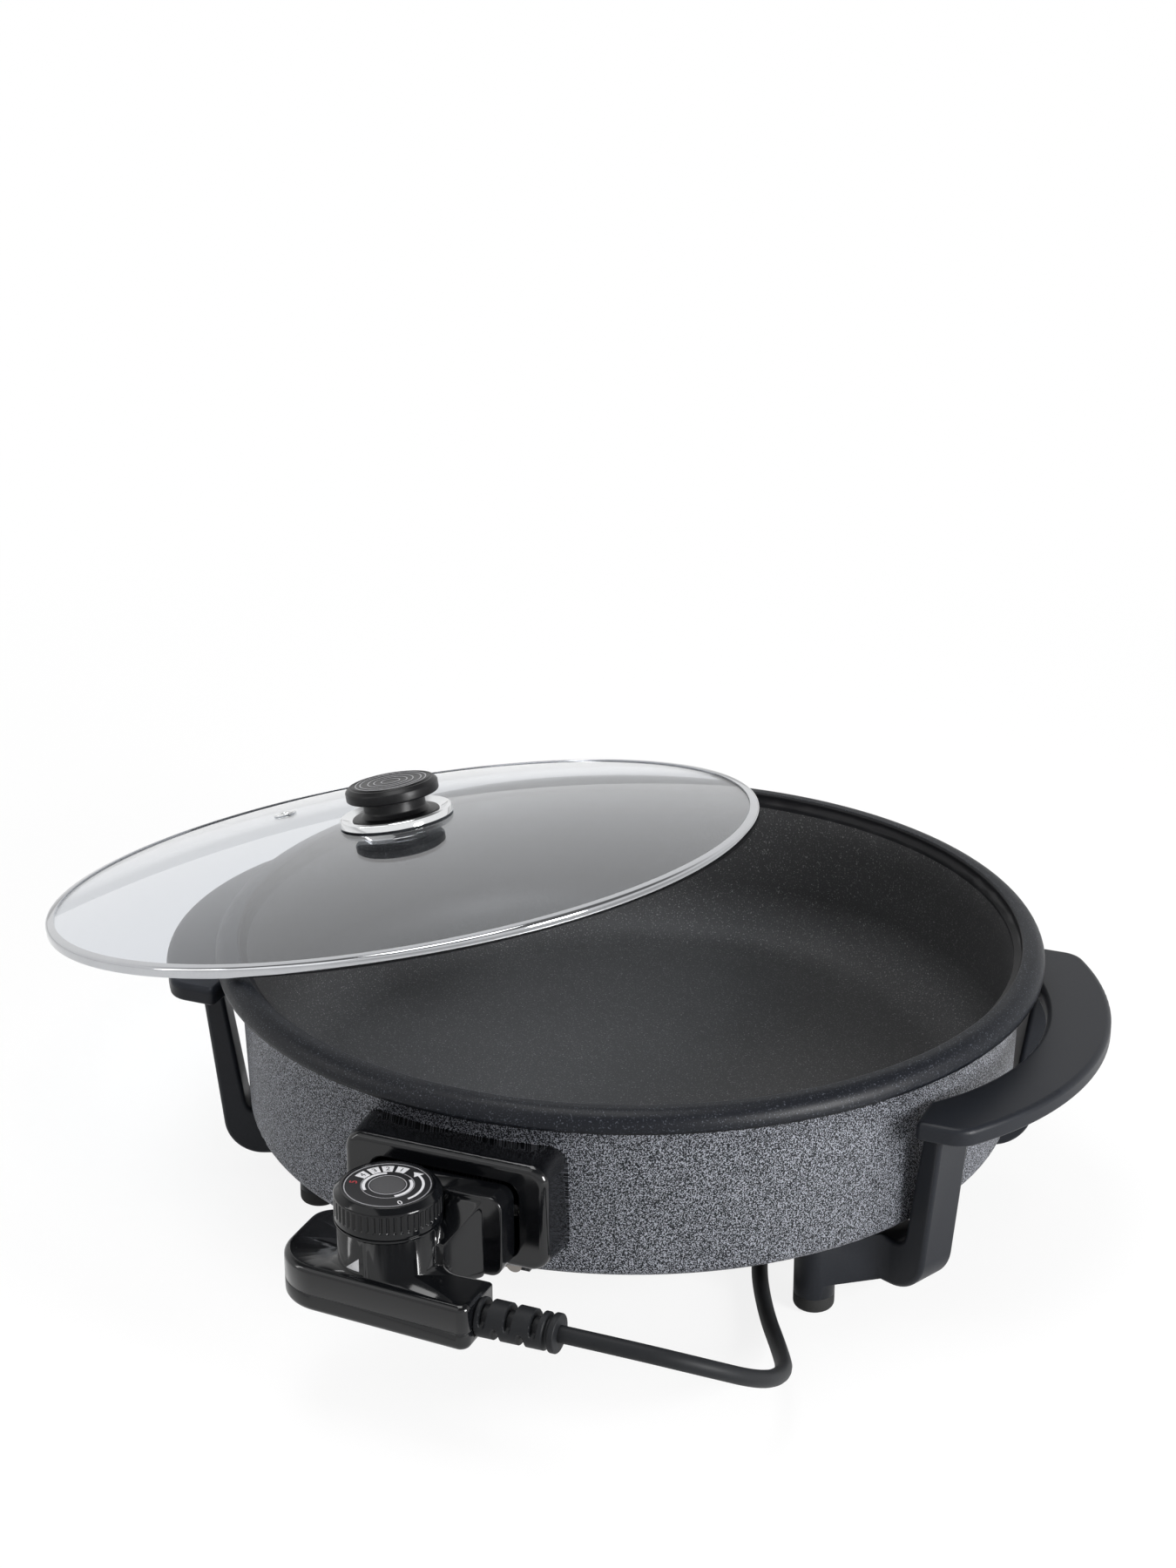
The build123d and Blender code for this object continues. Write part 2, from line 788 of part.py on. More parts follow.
knob_low = dish_low + dish_web
knob_top = glass_top + knob_height
cap_low = knob_top - cap_thickness
knob_bore_top = knob_low + lid_screw_grip
with BuildPart() as lid_knob:
    with BuildSketch(lid_section):
        with BuildLine():
            outline = [
                (knob_bore, knob_low),
                (neck_radius + neck_flare, knob_low),
                (neck_radius, knob_low + 2 * neck_flare),
                (neck_radius, cap_low),
                (cap_radius - cap_edge, cap_low),
                (cap_radius, cap_low + cap_edge),
                (cap_radius, knob_top - cap_bevel),
                (cap_radius - cap_shoulder, knob_top - cap_bevel + 2 * cap_shoulder),
                (cap_radius - cap_bevel, knob_top),
            ]
            for groove in reversed(groove_radii):
                outline.append((groove + groove_depth, knob_top))
                outline.append((groove, knob_top - groove_depth))
                outline.append((groove - groove_depth, knob_top))
            outline.append((0, knob_top))
            outline.append((0, knob_bore_top))
            outline.append((knob_bore, knob_bore_top))
            Polyline(*outline, close=True)
        make_face()
    revolve(axis=lid_axis)
save(lid_knob, "lid_knob")

gasket_top = glass_low(gasket_radius) - press_fit
with BuildPart() as lid_gasket:
    with BuildSketch(lid_plane.offset(gasket_top - gasket_thickness)):
        Circle(gasket_radius)
        Circle(knob_bore, mode=Mode.SUBTRACT)
    extrude(amount=gasket_thickness)
    fillet(lid_gasket.edges().filter_by(GeomType.CIRCLE).sort_by(SortBy.RADIUS)[-2:], gasket_round)
save(lid_gasket, "lid_gasket")

lid_screw_seat = gasket_top - gasket_thickness
with BuildPart() as lid_screw:
    with BuildSketch(lid_plane.offset(lid_screw_seat)):
        Circle(lid_screw_head)
    extrude(amount=-lid_screw_head_height)
    fillet(lid_screw.edges().filter_by(GeomType.CIRCLE), lid_screw_round)
    with BuildSketch(lid_plane.offset(lid_screw_seat)):
        Circle(lid_screw_radius)
    extrude(amount=knob_bore_top - lid_screw_clearance - lid_screw_seat)
save(lid_screw, "lid_screw")


# Thermostat control: a two-part shell with a neck whose nose plugs into the socket
neck_rear = housing_face + neck_gap
neck_front = neck_rear + neck_depth
neck_right = socket_x + neck_width / 2
neck_top = socket_axis_z + neck_rise
nose_tip = neck_rear - nose_reach
body_rear = housing_face + body_gap
body_front = body_rear + body_depth
body_low = socket_axis_z - body_drop
deck = socket_axis_z - deck_drop
parting = body_low + parting_rise
left_end = socket_x - body_left
right_end = socket_x + body_right
step_x = right_end - body_step
step_y = body_right_depth - body_front
dial_x = socket_x - dial_offset
dial_y = -body_rear - dial_setback
stage_top = deck + stage_height
cavity_low = body_low + shell
cavity_high = deck - shell
shell_screw_places = [
    (left_end + shell + 2 * shell_post_radius, dial_y + shell_post_radius),
    (right_end - 2 * shell_post_radius - shell, -body_front + shell + 2 * shell_post_radius),
    (step_x - shell - 2 * shell_post_radius, -body_rear - shell - 2 * shell_post_radius),
]


def control_plan(height, inset):
    """Plan of the control's body at a height, drawn in by an inset."""
    with BuildSketch(Plane.XY.offset(height)) as plan:
        with BuildLine():
            Polyline(
                (left_end, -body_rear),
                (left_end, front_slant - body_front),
                (right_end, -body_front),
                (right_end, step_y),
                (step_x, step_y),
                (step_x, -body_rear),
                close=True,
            )
        make_face()
        for corner, radius in (
            ((left_end, front_slant - body_front), end_round),
            ((left_end, -body_rear), rear_round),
            ((right_end, -body_front), front_round),
            ((step_x, step_y), step_round),
        ):
            fillet(plan.vertices().sort_by_distance((*corner, height))[0], radius)
        offset(amount=-inset, kind=Kind.INTERSECTION)
    return plan.sketch


def wall_plate(depth, width, drop, rise, corner, thickness):
    """A rounded plate on the socket's axis that faces the viewer, from a depth along -Y forwards."""
    with BuildPart() as plate:
        with BuildSketch(Plane.XZ.offset(depth)):
            with Locations((socket_x, socket_axis_z + (rise - drop) / 2)):
                RectangleRounded(width, drop + rise, corner)
        extrude(amount=thickness)
    return plate.part


def shoulder_face(depth, side, top):
    """Section of the shoulder that runs down from the neck to the dial's stage."""
    with BuildSketch(Plane.XZ.offset(depth)) as section:
        with BuildLine():
            Polyline((dial_x, parting), (side, parting), (side, top), (dial_x, top), close=True)
        make_face()
        fillet(section.vertices().sort_by_distance((side, -depth, top))[0], shoulder_round)
    return section.sketch


with BuildPart() as neck:
    add(wall_plate(neck_rear, neck_width, neck_drop, neck_rise, neck_corner, neck_depth))
    fillet(neck.faces().sort_by(Axis.Y)[0].edges(), neck_edge)

with BuildPart() as control_form:
    add(control_plan(body_low, 0))
    extrude(amount=deck - body_low)
    fillet(control_form.faces().sort_by(Axis.Z)[-1].edges(), body_edge)
    fillet(control_form.faces().sort_by(Axis.Z)[0].edges(), body_edge)
    add(neck.part)
    with BuildSketch(Plane((dial_x, dial_y, deck - shell))):
        Circle(stage_radius)
    extrude(amount=stage_height + shell)
    add(shoulder_face(neck_front, neck_right - shoulder_inset, neck_top - shoulder_drop))
    add(shoulder_face(-dial_y, dial_x + stage_radius + shoulder_end, deck + shoulder_rise))
    loft()
    with BuildSketch(Plane((dial_x, dial_y, stage_top))):
        Circle(dial_radius + dial_clearance)
    extrude(amount=2 * dial_height, mode=Mode.SUBTRACT)
    nose_half = nose_height / 2
    add(wall_plate(nose_tip, nose_width, nose_half, nose_half, nose_corner, nose_reach + nose_root))

relief_y = relief_inset - body_front
relief_z = body_low + relief_rise
relief_plane = Plane(origin=(right_end, relief_y, relief_z), x_dir=(0, 1, 0), z_dir=(1, 0, 0))
with BuildPart() as control_cuts:
    add(control_plan(cavity_low, shell))
    extrude(amount=cavity_high - cavity_low)
    with Locations(*[(x, y, (cavity_low + cavity_high) / 2) for x, y in shell_screw_places]):
        Cylinder(shell_post_radius, 2 * (cavity_high - cavity_low), mode=Mode.SUBTRACT)
    with BuildSketch(relief_plane.offset(-2 * shell)):
        Circle(relief_stem + relief_stem_fit)
    extrude(amount=3 * shell)

sleeve_places = [(socket_x + side * terminal_spacing / 2, socket_axis_z) for side in (-1, 1)]
with BuildPart() as control_upper_shell:
    add(control_form.part)
    split(bisect_by=Plane.XY.offset(parting), keep=Keep.TOP)
    add(control_cuts.part, mode=Mode.SUBTRACT)
    with BuildSketch(Plane.XZ.offset(nose_tip)):
        with Locations(*sleeve_places):
            Circle(sleeve_radius + press_fit)
    extrude(amount=sleeve_length, mode=Mode.SUBTRACT)
    with BuildSketch(Plane.XZ.offset(nose_tip)):
        with Locations((socket_x, socket_axis_z)):
            Circle(probe_radius + press_fit)
    extrude(amount=probe_tail, mode=Mode.SUBTRACT)
    with BuildSketch(Plane((dial_x, dial_y, cavity_high - shell))):
        Circle(spindle_radius + press_fit)
    extrude(amount=stage_height + 3 * shell, mode=Mode.SUBTRACT)
    with BuildSketch(Plane.XY.offset(parting)):
        with Locations(*shell_screw_places):
            Circle(shell_screw_radius + press_fit)
    extrude(amount=cavity_high - parting - shell_screw_end_gap / 2, mode=Mode.SUBTRACT)
save(control_upper_shell, "control_upper_shell")

with BuildPart() as control_lower_shell:
    add(control_form.part)
    split(bisect_by=Plane.XY.offset(parting), keep=Keep.BOTTOM)
    add(control_cuts.part, mode=Mode.SUBTRACT)
    with Locations(*[Location((x, y, body_low), (180, 0, 0)) for x, y in shell_screw_places]):
        CounterBoreHole(
            shell_screw_radius + screw_hole_fit,
            shell_screw_head + screw_hole_fit,
            shell,
            parting - body_low,
        )
save(control_lower_shell, "control_lower_shell")

with BuildPart() as shell_screws:
    with BuildSketch(Plane.XY.offset(body_low + shell)):
        with Locations(*shell_screw_places):
            Circle(shell_screw_head)
    extrude(amount=-shell_screw_head_height)
    with BuildSketch(Plane.XY.offset(body_low + shell)):
        with Locations(*shell_screw_places):
            Circle(shell_screw_radius)
    extrude(amount=cavity_high - shell_screw_end_gap - body_low - shell)
save(shell_screws, "shell_screws")

with BuildPart() as contact_sleeves:
    with BuildSketch(Plane.XZ.offset(nose_tip)):
        with Locations(*sleeve_places):
            Circle(sleeve_radius)
            Circle(terminal_radius + sleeve_fit, mode=Mode.SUBTRACT)
    extrude(amount=sleeve_length)
save(contact_sleeves, "contact_sleeves")

with BuildPart() as sensor_probe:
    with BuildSketch(Plane.XZ.offset(pad_face - probe_reach)):
        with Locations((socket_x, socket_axis_z)):
            Circle(probe_radius)
    extrude(amount=nose_tip + probe_tail - pad_face + probe_reach)
    fillet(sensor_probe.faces().sort_by(Axis.Y)[-1].edges(), probe_radius / 2)
save(sensor_probe, "sensor_probe")

with BuildPart() as thermostat_switch:
    with Locations((dial_x, dial_y, cavity_low + switch_height / 2)):
        Box(switch_length, switch_width, switch_height)
    chamfer(thermostat_switch.edges().filter_by(Axis.Z), switch_chamfer)
save(thermostat_switch, "thermostat_switch")

# Dial: a fluted knob with a printed plate, on the switch's spindle
dial_low = stage_top + dial_gap
dial_top = dial_low + dial_height
plate_low = dial_top - plate_recess - plate_thickness
spindle_low = cavity_low + switch_height + spindle_gap
dial_plane = Plane((dial_x, dial_y, 0))
flute_top = dial_top - dial_shoulder
with BuildPart() as control_dial:
    with BuildSketch(upright(dial_plane)):
        with BuildLine():
            Polyline(
                (spindle_radius + press_fit, dial_low),
                (dial_radius, dial_low),
                (dial_radius, dial_low + ring_rise),
                (dial_radius - ring_groove, dial_low + ring_rise),
                (dial_radius - ring_groove, dial_low + ring_rise + ring_groove),
                (dial_radius, dial_low + ring_rise + ring_groove),
                (dial_radius, flute_top),
                (dial_top_radius + dial_edge, dial_top - dial_edge),
                (dial_top_radius, dial_top),
                (plate_radius + press_fit, dial_top),
                (plate_radius + press_fit, plate_low),
                (0, plate_low),
                (0, dial_low + spindle_grip + spindle_end_gap),
                (spindle_radius + press_fit, dial_low + spindle_grip + spindle_end_gap),
                close=True,
            )
        make_face()
    revolve(axis=axis_of(dial_plane))
    with BuildSketch(dial_plane.offset(dial_low + dial_skirt)):
        with PolarLocations(dial_radius + flute_offset, flute_count):
            Circle(flute_radius)
    extrude(amount=flute_top - dial_low - dial_skirt, mode=Mode.SUBTRACT)
save(control_dial, "control_dial")

with BuildPart() as dial_plate:
    with BuildSketch(dial_plane.offset(plate_low)):
        Circle(plate_radius)
    extrude(amount=plate_thickness)
save(dial_plate, "dial_plate")

with BuildPart() as dial_spindle:
    with BuildSketch(dial_plane.offset(spindle_low)):
        Circle(spindle_radius)
    extrude(amount=dial_low + spindle_grip - spindle_low)
save(dial_spindle, "dial_spindle")

# Strain relief: a ribbed sleeve with slots on alternate sides
flange_top = -shell - relief_flange_gap
waist_radius = relief_radius - collar_waist
collar_low = relief_length - collar_length
waist_low = collar_low - collar_groove
with BuildPart() as strain_relief:
    with BuildSketch(upright(relief_plane)):
        with BuildLine():
            Polyline(
                (0, flange_top - relief_flange_thickness),
                (relief_flange, flange_top - relief_flange_thickness),
                (relief_flange, flange_top),
                (relief_stem, flange_top),
                (relief_stem, relief_gap),
                (relief_radius, relief_gap),
                (relief_radius - relief_taper, waist_low),
                (waist_radius, waist_low + collar_groove / 3),
                (waist_radius, collar_low - collar_groove / 6),
                (relief_radius, collar_low),
                (relief_radius, relief_length),
                (0, relief_length),
                close=True,
            )
        make_face()
    revolve(axis=axis_of(relief_plane))
    for slot in range(slot_count):
        side = 1 if slot % 2 else -1
        with BuildSketch(relief_plane.offset(slot_start + slot * slot_span / slot_count)):
            Circle(2 * relief_radius)
            Circle(slot_core, mode=Mode.SUBTRACT)
            with Locations((-side * relief_radius, 0)):
                Rectangle(slot_side * relief_radius, 4 * relief_radius, mode=Mode.SUBTRACT)
        extrude(amount=slot_width, mode=Mode.SUBTRACT)
save(strain_relief, "strain_relief")


# Cord: straight runs joined by the largest tangent arcs that the runs allow
def route_radii(route):
    """Arc radius at each inner point of a route: 0.45 of the shorter run over tan(half the turn)."""
    radii = []
    for before, here, after in zip(route, route[1:], route[2:]):
        run_in = Vector(*here) - Vector(*before)
        run_out = Vector(*after) - Vector(*here)
        half_turn = radians(run_in.get_angle(run_out)) / 2
        radii.append(0.45 * min(run_in.length, run_out.length) / tan(half_turn))
    return radii


def cord_tube(route):
    """A tube along a route, with the length of its centre line."""
    with BuildLine() as path:
        FilletPolyline(*route, radius=route_radii(route))
    with BuildPart() as tube:
        with BuildSketch(Plane(path.wire() @ 0, z_dir=path.wire() % 0)):
            Circle(cord_radius)
        sweep(path=path.wire())
    print("tube radii", [round(radius) for radius in route_radii(route)])
    length = path.wire().length
    print("tube volume over section times length", tube.part.volume / (pi * cord_radius**2 * length))
    return tube, length


cord, cord_length = cord_tube(cord_route)
save(cord, "cord")
cord_tail, tail_length = cord_tube(tail_route)
save(cord_tail, "cord_tail")


# Coil of the put-away length: it spirals in on the table and out again one layer up
def coil_place(turn):
    """Centre of the coiled cord after a number of turns."""
    radius = coil_radius - coil_step * (coil_reversal - abs(turn - coil_reversal))
    climb = min(max(turn - coil_reversal + 0.25, 0), 0.5)
    height = coil_rest + coil_step * (1 - cos(2 * pi * climb)) / 2
    angle = 2 * pi * turn
    return Vector(coil_x + radius * cos(angle), coil_y + radius * sin(angle), height)


def coil_heading(turn):
    """Direction of the coiled cord after a number of turns; its ends run square to the radius."""
    if turn in (0, coil_turns):
        return Vector(-sin(2 * pi * turn), cos(2 * pi * turn), 0)
    return (coil_place(turn + 0.001) - coil_place(turn - 0.001)).normalized()


quarters = round(4 * coil_turns)
with BuildLine() as coil_path:
    Line(coil_place(0) - coil_heading(0) * 2 * cord_radius, coil_place(0))
    for quarter in range(quarters):
        start = coil_place(quarter / 4)
        end = coil_place((quarter + 1) / 4)
        leaving = coil_heading(quarter / 4)
        arriving = coil_heading((quarter + 1) / 4)
        chord = end - start
        along = chord.dot(leaving + arriving)
        bend = 2 * (1 - leaving.dot(arriving))
        reach = (sqrt(along**2 + bend * chord.dot(chord)) - along) / bend
        first_corner = start + leaving * reach
        second_corner = end - arriving * reach
        joint = (first_corner + second_corner) / 2
        TangentArc(start, joint, tangent=leaving)
        TangentArc(joint, end, tangent=second_corner - first_corner)
    Line(coil_place(coil_turns), coil_place(coil_turns) + coil_heading(coil_turns) * 2 * cord_radius)

with BuildPart() as cord_coil:
    with BuildSketch(Plane(coil_path.wire() @ 0, z_dir=coil_path.wire() % 0)):
        Circle(cord_radius)
    sweep(path=coil_path.wire())
save(cord_coil, "cord_coil")

coil_length = coil_path.wire().length
sample_count = 600
samples = [coil_path.wire() @ (step / sample_count) for step in range(sample_count + 1)]
apart = ceil(pi * coil_radius / coil_length * sample_count)
least_gap = min(
    (samples[one] - samples[other]).length
    for one in range(sample_count + 1)
    for other in range(one + apart, sample_count + 1)
)
coil_section_volume = pi * cord_radius**2 * coil_length
print("coil least gap", round(least_gap - 2 * cord_radius, 2))
print("coil volume over section times length", cord_coil.part.volume / coil_section_volume)
print("cord length", round(cord_length + coil_length + tail_length))

# Cord tie: a band round the two turns that lie on each other
tie_plane = Plane(origin=coil_place(tie_turn), x_dir=(0, 0, 1), z_dir=(1, 0, 0))
tie_inner = 2 * (cord_radius + tie_gap)
with BuildPart() as cord_tie:
    with BuildSketch(tie_plane.offset(-tie_width / 2)):
        with Locations((coil_step / 2, 0)):
            SlotCenterToCenter(coil_step, tie_inner + 2 * tie_thickness)
            SlotCenterToCenter(coil_step, tie_inner, mode=Mode.SUBTRACT)
    extrude(amount=tie_width)
save(cord_tie, "cord_tie")

# Plug: a straight moulded body with two round pins
plug_plane = Plane(origin=tail_route[-1], x_dir=(0, 1, 0), z_dir=(-1, 0, 0))
with BuildPart() as plug_body:
    with BuildSketch(upright(plug_plane)):
        with BuildLine():
            Polyline(
                (0, 0),
                (plug_neck_radius, 0),
                (plug_grip_radius, plug_sleeve),
                (plug_grip_radius, plug_length - plug_flange),
                (plug_radius, plug_length - plug_flange + plug_shoulder),
                (plug_radius, plug_length),
                (0, plug_length),
                close=True,
            )
        make_face()
    revolve(axis=axis_of(plug_plane))
    with BuildSketch(plug_plane.offset(plug_length)):
        with GridLocations(plug_pin_spacing, 1, 2, 1):
            Circle(plug_pin_radius)
    extrude(amount=-plug_pin_seat, mode=Mode.SUBTRACT)
save(plug_body, "plug_body")

with BuildPart() as plug_pins:
    with BuildSketch(plug_plane.offset(plug_length - plug_pin_seat)):
        with GridLocations(plug_pin_spacing, 1, 2, 1):
            Circle(plug_pin_radius)
    extrude(amount=plug_pin_seat + plug_pin_length)
    fillet(plug_pins.faces().sort_by(Axis.X)[:2].edges(), plug_pin_radius / 2)
save(plug_pins, "plug_pins")
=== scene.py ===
import json
from math import cos, degrees, pi, radians, sin
import bmesh
import bpy
import numpy as np
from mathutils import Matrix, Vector

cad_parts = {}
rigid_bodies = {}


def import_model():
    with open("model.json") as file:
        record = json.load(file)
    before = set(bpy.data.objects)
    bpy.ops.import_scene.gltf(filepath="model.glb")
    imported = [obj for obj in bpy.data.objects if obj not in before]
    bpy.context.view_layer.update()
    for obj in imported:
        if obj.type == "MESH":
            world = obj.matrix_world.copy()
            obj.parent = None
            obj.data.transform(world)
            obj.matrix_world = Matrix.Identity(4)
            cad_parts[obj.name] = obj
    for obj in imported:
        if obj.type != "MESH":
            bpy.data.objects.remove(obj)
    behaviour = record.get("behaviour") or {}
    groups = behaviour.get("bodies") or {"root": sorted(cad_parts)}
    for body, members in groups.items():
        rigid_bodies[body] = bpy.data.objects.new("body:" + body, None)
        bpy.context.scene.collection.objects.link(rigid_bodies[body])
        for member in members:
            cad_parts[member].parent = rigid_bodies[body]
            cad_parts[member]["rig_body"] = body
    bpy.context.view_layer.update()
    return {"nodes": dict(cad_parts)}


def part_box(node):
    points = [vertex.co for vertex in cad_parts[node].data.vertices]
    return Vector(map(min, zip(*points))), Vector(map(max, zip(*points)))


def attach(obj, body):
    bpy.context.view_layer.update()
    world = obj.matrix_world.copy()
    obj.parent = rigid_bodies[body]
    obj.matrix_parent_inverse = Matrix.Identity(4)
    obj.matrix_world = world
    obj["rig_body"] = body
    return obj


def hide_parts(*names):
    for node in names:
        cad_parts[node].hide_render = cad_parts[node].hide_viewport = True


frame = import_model()

# Round electric cooking pan with a glass lid ajar and a plug-in thermostat control.
# Metres, in the frame of the solids: the table is at z = 0, the pan's axis is Z.
MM = 0.001

# Meshes: points merged within a distance, edges kept sharp from an angle on, in degrees
MERGE = 0.001 * MM
SLIVER = 0.0001 * MM
SHARP = 35.0
SHARP_BAND = 40.0
SHARP_COPY = 46.0
SHARP_CURVED = 50.0

# Meshes: sides of the turned pieces and steps along their finer profiles
FOOT_SIDES = 64
GLASS_SIDES = 224
GLASS_STEPS = 60
GLASS_EDGE_STEPS = 9
BAND_SIDES = 256
VENT_SIDES = 48
DISH_SIDES = 128
KNOB_SIDES = 160
KNOB_FACE_STEPS = 180
FLUTE_SIDES = 12
DIAL_SKIRT_STEPS = 40
SLEEVE_SIDES = 144
SLEEVE_STEPS = 150
PLUG_SIDES = 96
PLUG_FINENESS = 6

# Camera, fitted to the rim, the handles and the feet
CAMERA_PLACE = (0.5093, -1.2736, 0.7489)
CAMERA_PITCH = 68.77
CAMERA_YAW = 22.7
CAMERA_LENS = 89.92
CAMERA_SENSOR = 36.0

# Pan: the radii and heights at which its coats meet
WALL_RADIUS = 195.2 * MM
WALL_TOP = 129.9 * MM
CORNER_RADIUS = 186.0 * MM
CORNER_TOP = 52.7 * MM
CORNER_BLUR = 2.0 * MM
BOWL_RADIUS = 194.5 * MM
SEAT_INNER = 193.6 * MM
SEAT_OUTER = 198.6 * MM
SEAT_LOW = 132.5 * MM

# Feet
FOOT_STEM = 4.9 * MM
FOOT_TREAD = 8.0 * MM

# Lid: it leans towards one side and rests on the rim
LID_WAY = radians(160.0)
LID_LEAN = radians(11.97)
LID_OFFSET = 166.0 * MM
LID_RISE = 125.56 * MM
FIT = 0.05 * MM
GLASS_RADIUS = 195.0 * MM
GLASS_EDGE = 1.2 * MM
GLASS_ROUND = 1.0 * MM
GLASS_THICKNESS = 4.0 * MM
GLASS_DOME = 21.0 * MM
GLASS_HOLE = 5.0 * MM
GLASS_SPHERE = (GLASS_RADIUS**2 + GLASS_DOME**2) / (2 * GLASS_DOME)
GLASS_TOP = GLASS_EDGE + GLASS_DOME + GLASS_THICKNESS
BAND_RADIUS = 196.5 * MM
BAND_INNER = BAND_RADIUS - 4.8 * MM
BAND_FOOT = 0.5 * MM
BAND_CREST = 5.9 * MM
BAND_LIP = 0.9 * MM
VENT_PLACE = (103.0 * MM, -6.5 * MM)
VENT_FLANGE = 6.5 * MM
VENT_LIP = 1.0 * MM
VENT_BARREL = 3.95 * MM
VENT_BORE = 2.6 * MM
DISH_RADIUS = 31.5 * MM
DISH_FLOOR = 24.9 * MM
DISH_LOW = GLASS_TOP + FIT
DISH_WEB = 2.0 * MM
KNOB_LOW = DISH_LOW + DISH_WEB
KNOB_TOP = GLASS_TOP + 21.0 * MM
KNOB_RADIUS = 25.5 * MM
KNOB_FOOT = 24.3 * MM
KNOB_NECK = 17.0 * MM
KNOB_CAP = 8.0 * MM
KNOB_BEVEL = 2.6 * MM
KNOB_FACE = KNOB_RADIUS - 4.5 * MM
KNOB_FACE_DEPTH = 0.35 * MM
KNOB_FACE_EDGE = 0.5 * MM
KNOB_RINGS = KNOB_RADIUS * np.array((0.20, 0.36, 0.49, 0.66, 0.76))
KNOB_RING_HALF = 0.4 * MM

# Blind bores of the knob and of the dial
BORE_RADIUS = 3.05 * MM
BORE_DEPTH = 10.5 * MM

# Control: its parting, the dial and the pointer on the stage below the dial
PARTING = 63.0 * MM
DIAL_X = -17.0 * MM
DIAL_Y = -246.0 * MM
DIAL_RADIUS = 24.4 * MM
DIAL_TOP_RADIUS = 21.4 * MM
DIAL_GROOVE = 0.7 * MM
DIAL_RECESS = 1.2 * MM
DIAL_RECESS_RADIUS = 20.15 * MM
FLUTE_COUNT = 48
FLUTE_DEPTH = 0.62 * MM
FLUTE_LAND = 0.2
FLUTE_RUN_OUT = 0.5 * MM
PLATE_RADIUS = 20.1 * MM
PRINT_LOW = -0.02 * MM
PRINT_TOP = 0.04 * MM
PRINT_UNDER = 0.03 * MM
PRINT_STEP = 3.0
NUMBER_HALF = 0.03 * MM
NUMBER_LIFT = 0.05 * MM
STAGE_RADIUS = 23.2 * MM
POINTER_START = radians(-119)
POINTER_SWEEP = radians(20)
POINTER_STEPS = 12
POINTER_DROP = 17.0 * MM
POINTER_CLIMB = 0.6 * MM
POINTER_HEIGHT = 6.4 * MM
POINTER_HALF = 0.05 * MM

# Strain relief
SLEEVE_RADIUS = 9.0 * MM
SLEEVE_LENGTH = 38.0 * MM
SLEEVE_TAPER = 0.4 * MM
SLEEVE_NECK = 2.0 * MM
SLEEVE_RIBS_START = 0.6 * MM
SLEEVE_RIBS_END = SLEEVE_LENGTH - 6.0 * MM
SLOT_COUNT = 5
SLOT_FIRST = 4.2 * MM
SLOT_PITCH = 6.0 * MM
SLOT_HALF = 2.0 * MM
SLOT_SWING = 1.6
SLOT_DEPTH = 3.1 * MM
SLOT_STEEPNESS = 2.2

# Plug
PLUG_NECK = 7.0 * MM
PLUG_GRIP = 13.0 * MM
PLUG_GROOVE_MIDDLE = 9.0 * MM
PLUG_GROOVE_REACH = 3.6 * MM
PLUG_GROOVE_PITCH = 3.0 * MM
PLUG_GROOVE_DEPTH = 0.5 * MM

# Cord: the route's points as chosen, its coil and its tail
CORD_RADIUS = 4.0 * MM
CORD_ROUTE = [
    (73.0, -262.0, 65.0),
    (106.0, -262.0, 65.0),
    (136.0, -251.0, 57.0),
    (154.0, -225.0, 39.0),
    (152.0, -188.0, 21.0),
    (137.0, -152.0, 8.0),
    (117.0, -116.0, 4.2),
    (98.0, -74.0, 4.2),
    (87.0, -25.0, 4.2),
    (80.0, 25.0, 4.2),
    (70.0, 75.0, 4.2),
    (56.0, 123.0, 4.2),
    (43.0, 168.0, 4.5),
    (38.0, 208.0, 5.4),
    (38.0, 246.0, 5.4),
]
COIL_CENTRE = (-12.0, 254.0)
COIL_REST = 5.4
COIL_RADIUS = 50.0
COIL_STEP = 8.7
COIL_TURNS = 2.25
COIL_REVERSAL = 1.25
COIL_CLIMB_TURNS = 0.5
COIL_POINTS_A_TURN = 16
TAIL_ROUTE = [
    (-20.0, 301.8, 14.1),
    (-35.0, 301.8, 14.1),
    (-52.0, 303.0, 16.6),
    (-68.0, 303.0, 18.9),
    (-80.0, 303.0, 18.9),
]

# Studio: how the floor and the surroundings glow, and where the lamps point
FLOOR_REACH = 40.0
FLOOR_DROP = 0.3 * MM
FLOOR_GLOW = 0.86
FLOOR_GLOW_NEAR = 0.45
FLOOR_GLOW_FAR = 1.3
FLOOR_GLOSS_SHARE = 0.5
WORLD_DIFFUSE = 0.24
WORLD_DIMMING = 0.8
LAMP_AIM = (0.0, 0.0, 0.1)


def direction(x, y, z):
    """A unit vector."""
    vector = np.array((x, y, z), float)
    return vector / np.linalg.norm(vector)


class Seat:
    """A place with its own axes, on which a turned or flat piece is worked out."""

    def __init__(self, origin, z_axis=(0, 0, 1), x_axis=(1, 0, 0)):
        self.origin = np.array(origin, float)
        self.z_axis = direction(*z_axis)
        across = np.cross(self.z_axis, direction(*x_axis))
        self.y_axis = across / np.linalg.norm(across)
        self.x_axis = np.cross(self.y_axis, self.z_axis)

    def place(self, points):
        """Points given along the seat's axes, as points of the whole object."""
        axes = np.stack((self.x_axis, self.y_axis, self.z_axis))
        return self.origin + np.asarray(points, float) @ axes


LID_SEAT = Seat(
    (LID_OFFSET * cos(LID_WAY), LID_OFFSET * sin(LID_WAY), LID_RISE),
    (sin(LID_LEAN) * cos(LID_WAY), sin(LID_LEAN) * sin(LID_WAY), cos(LID_LEAN)),
    (cos(LID_LEAN) * cos(LID_WAY), cos(LID_LEAN) * sin(LID_WAY), -sin(LID_LEAN)),
)


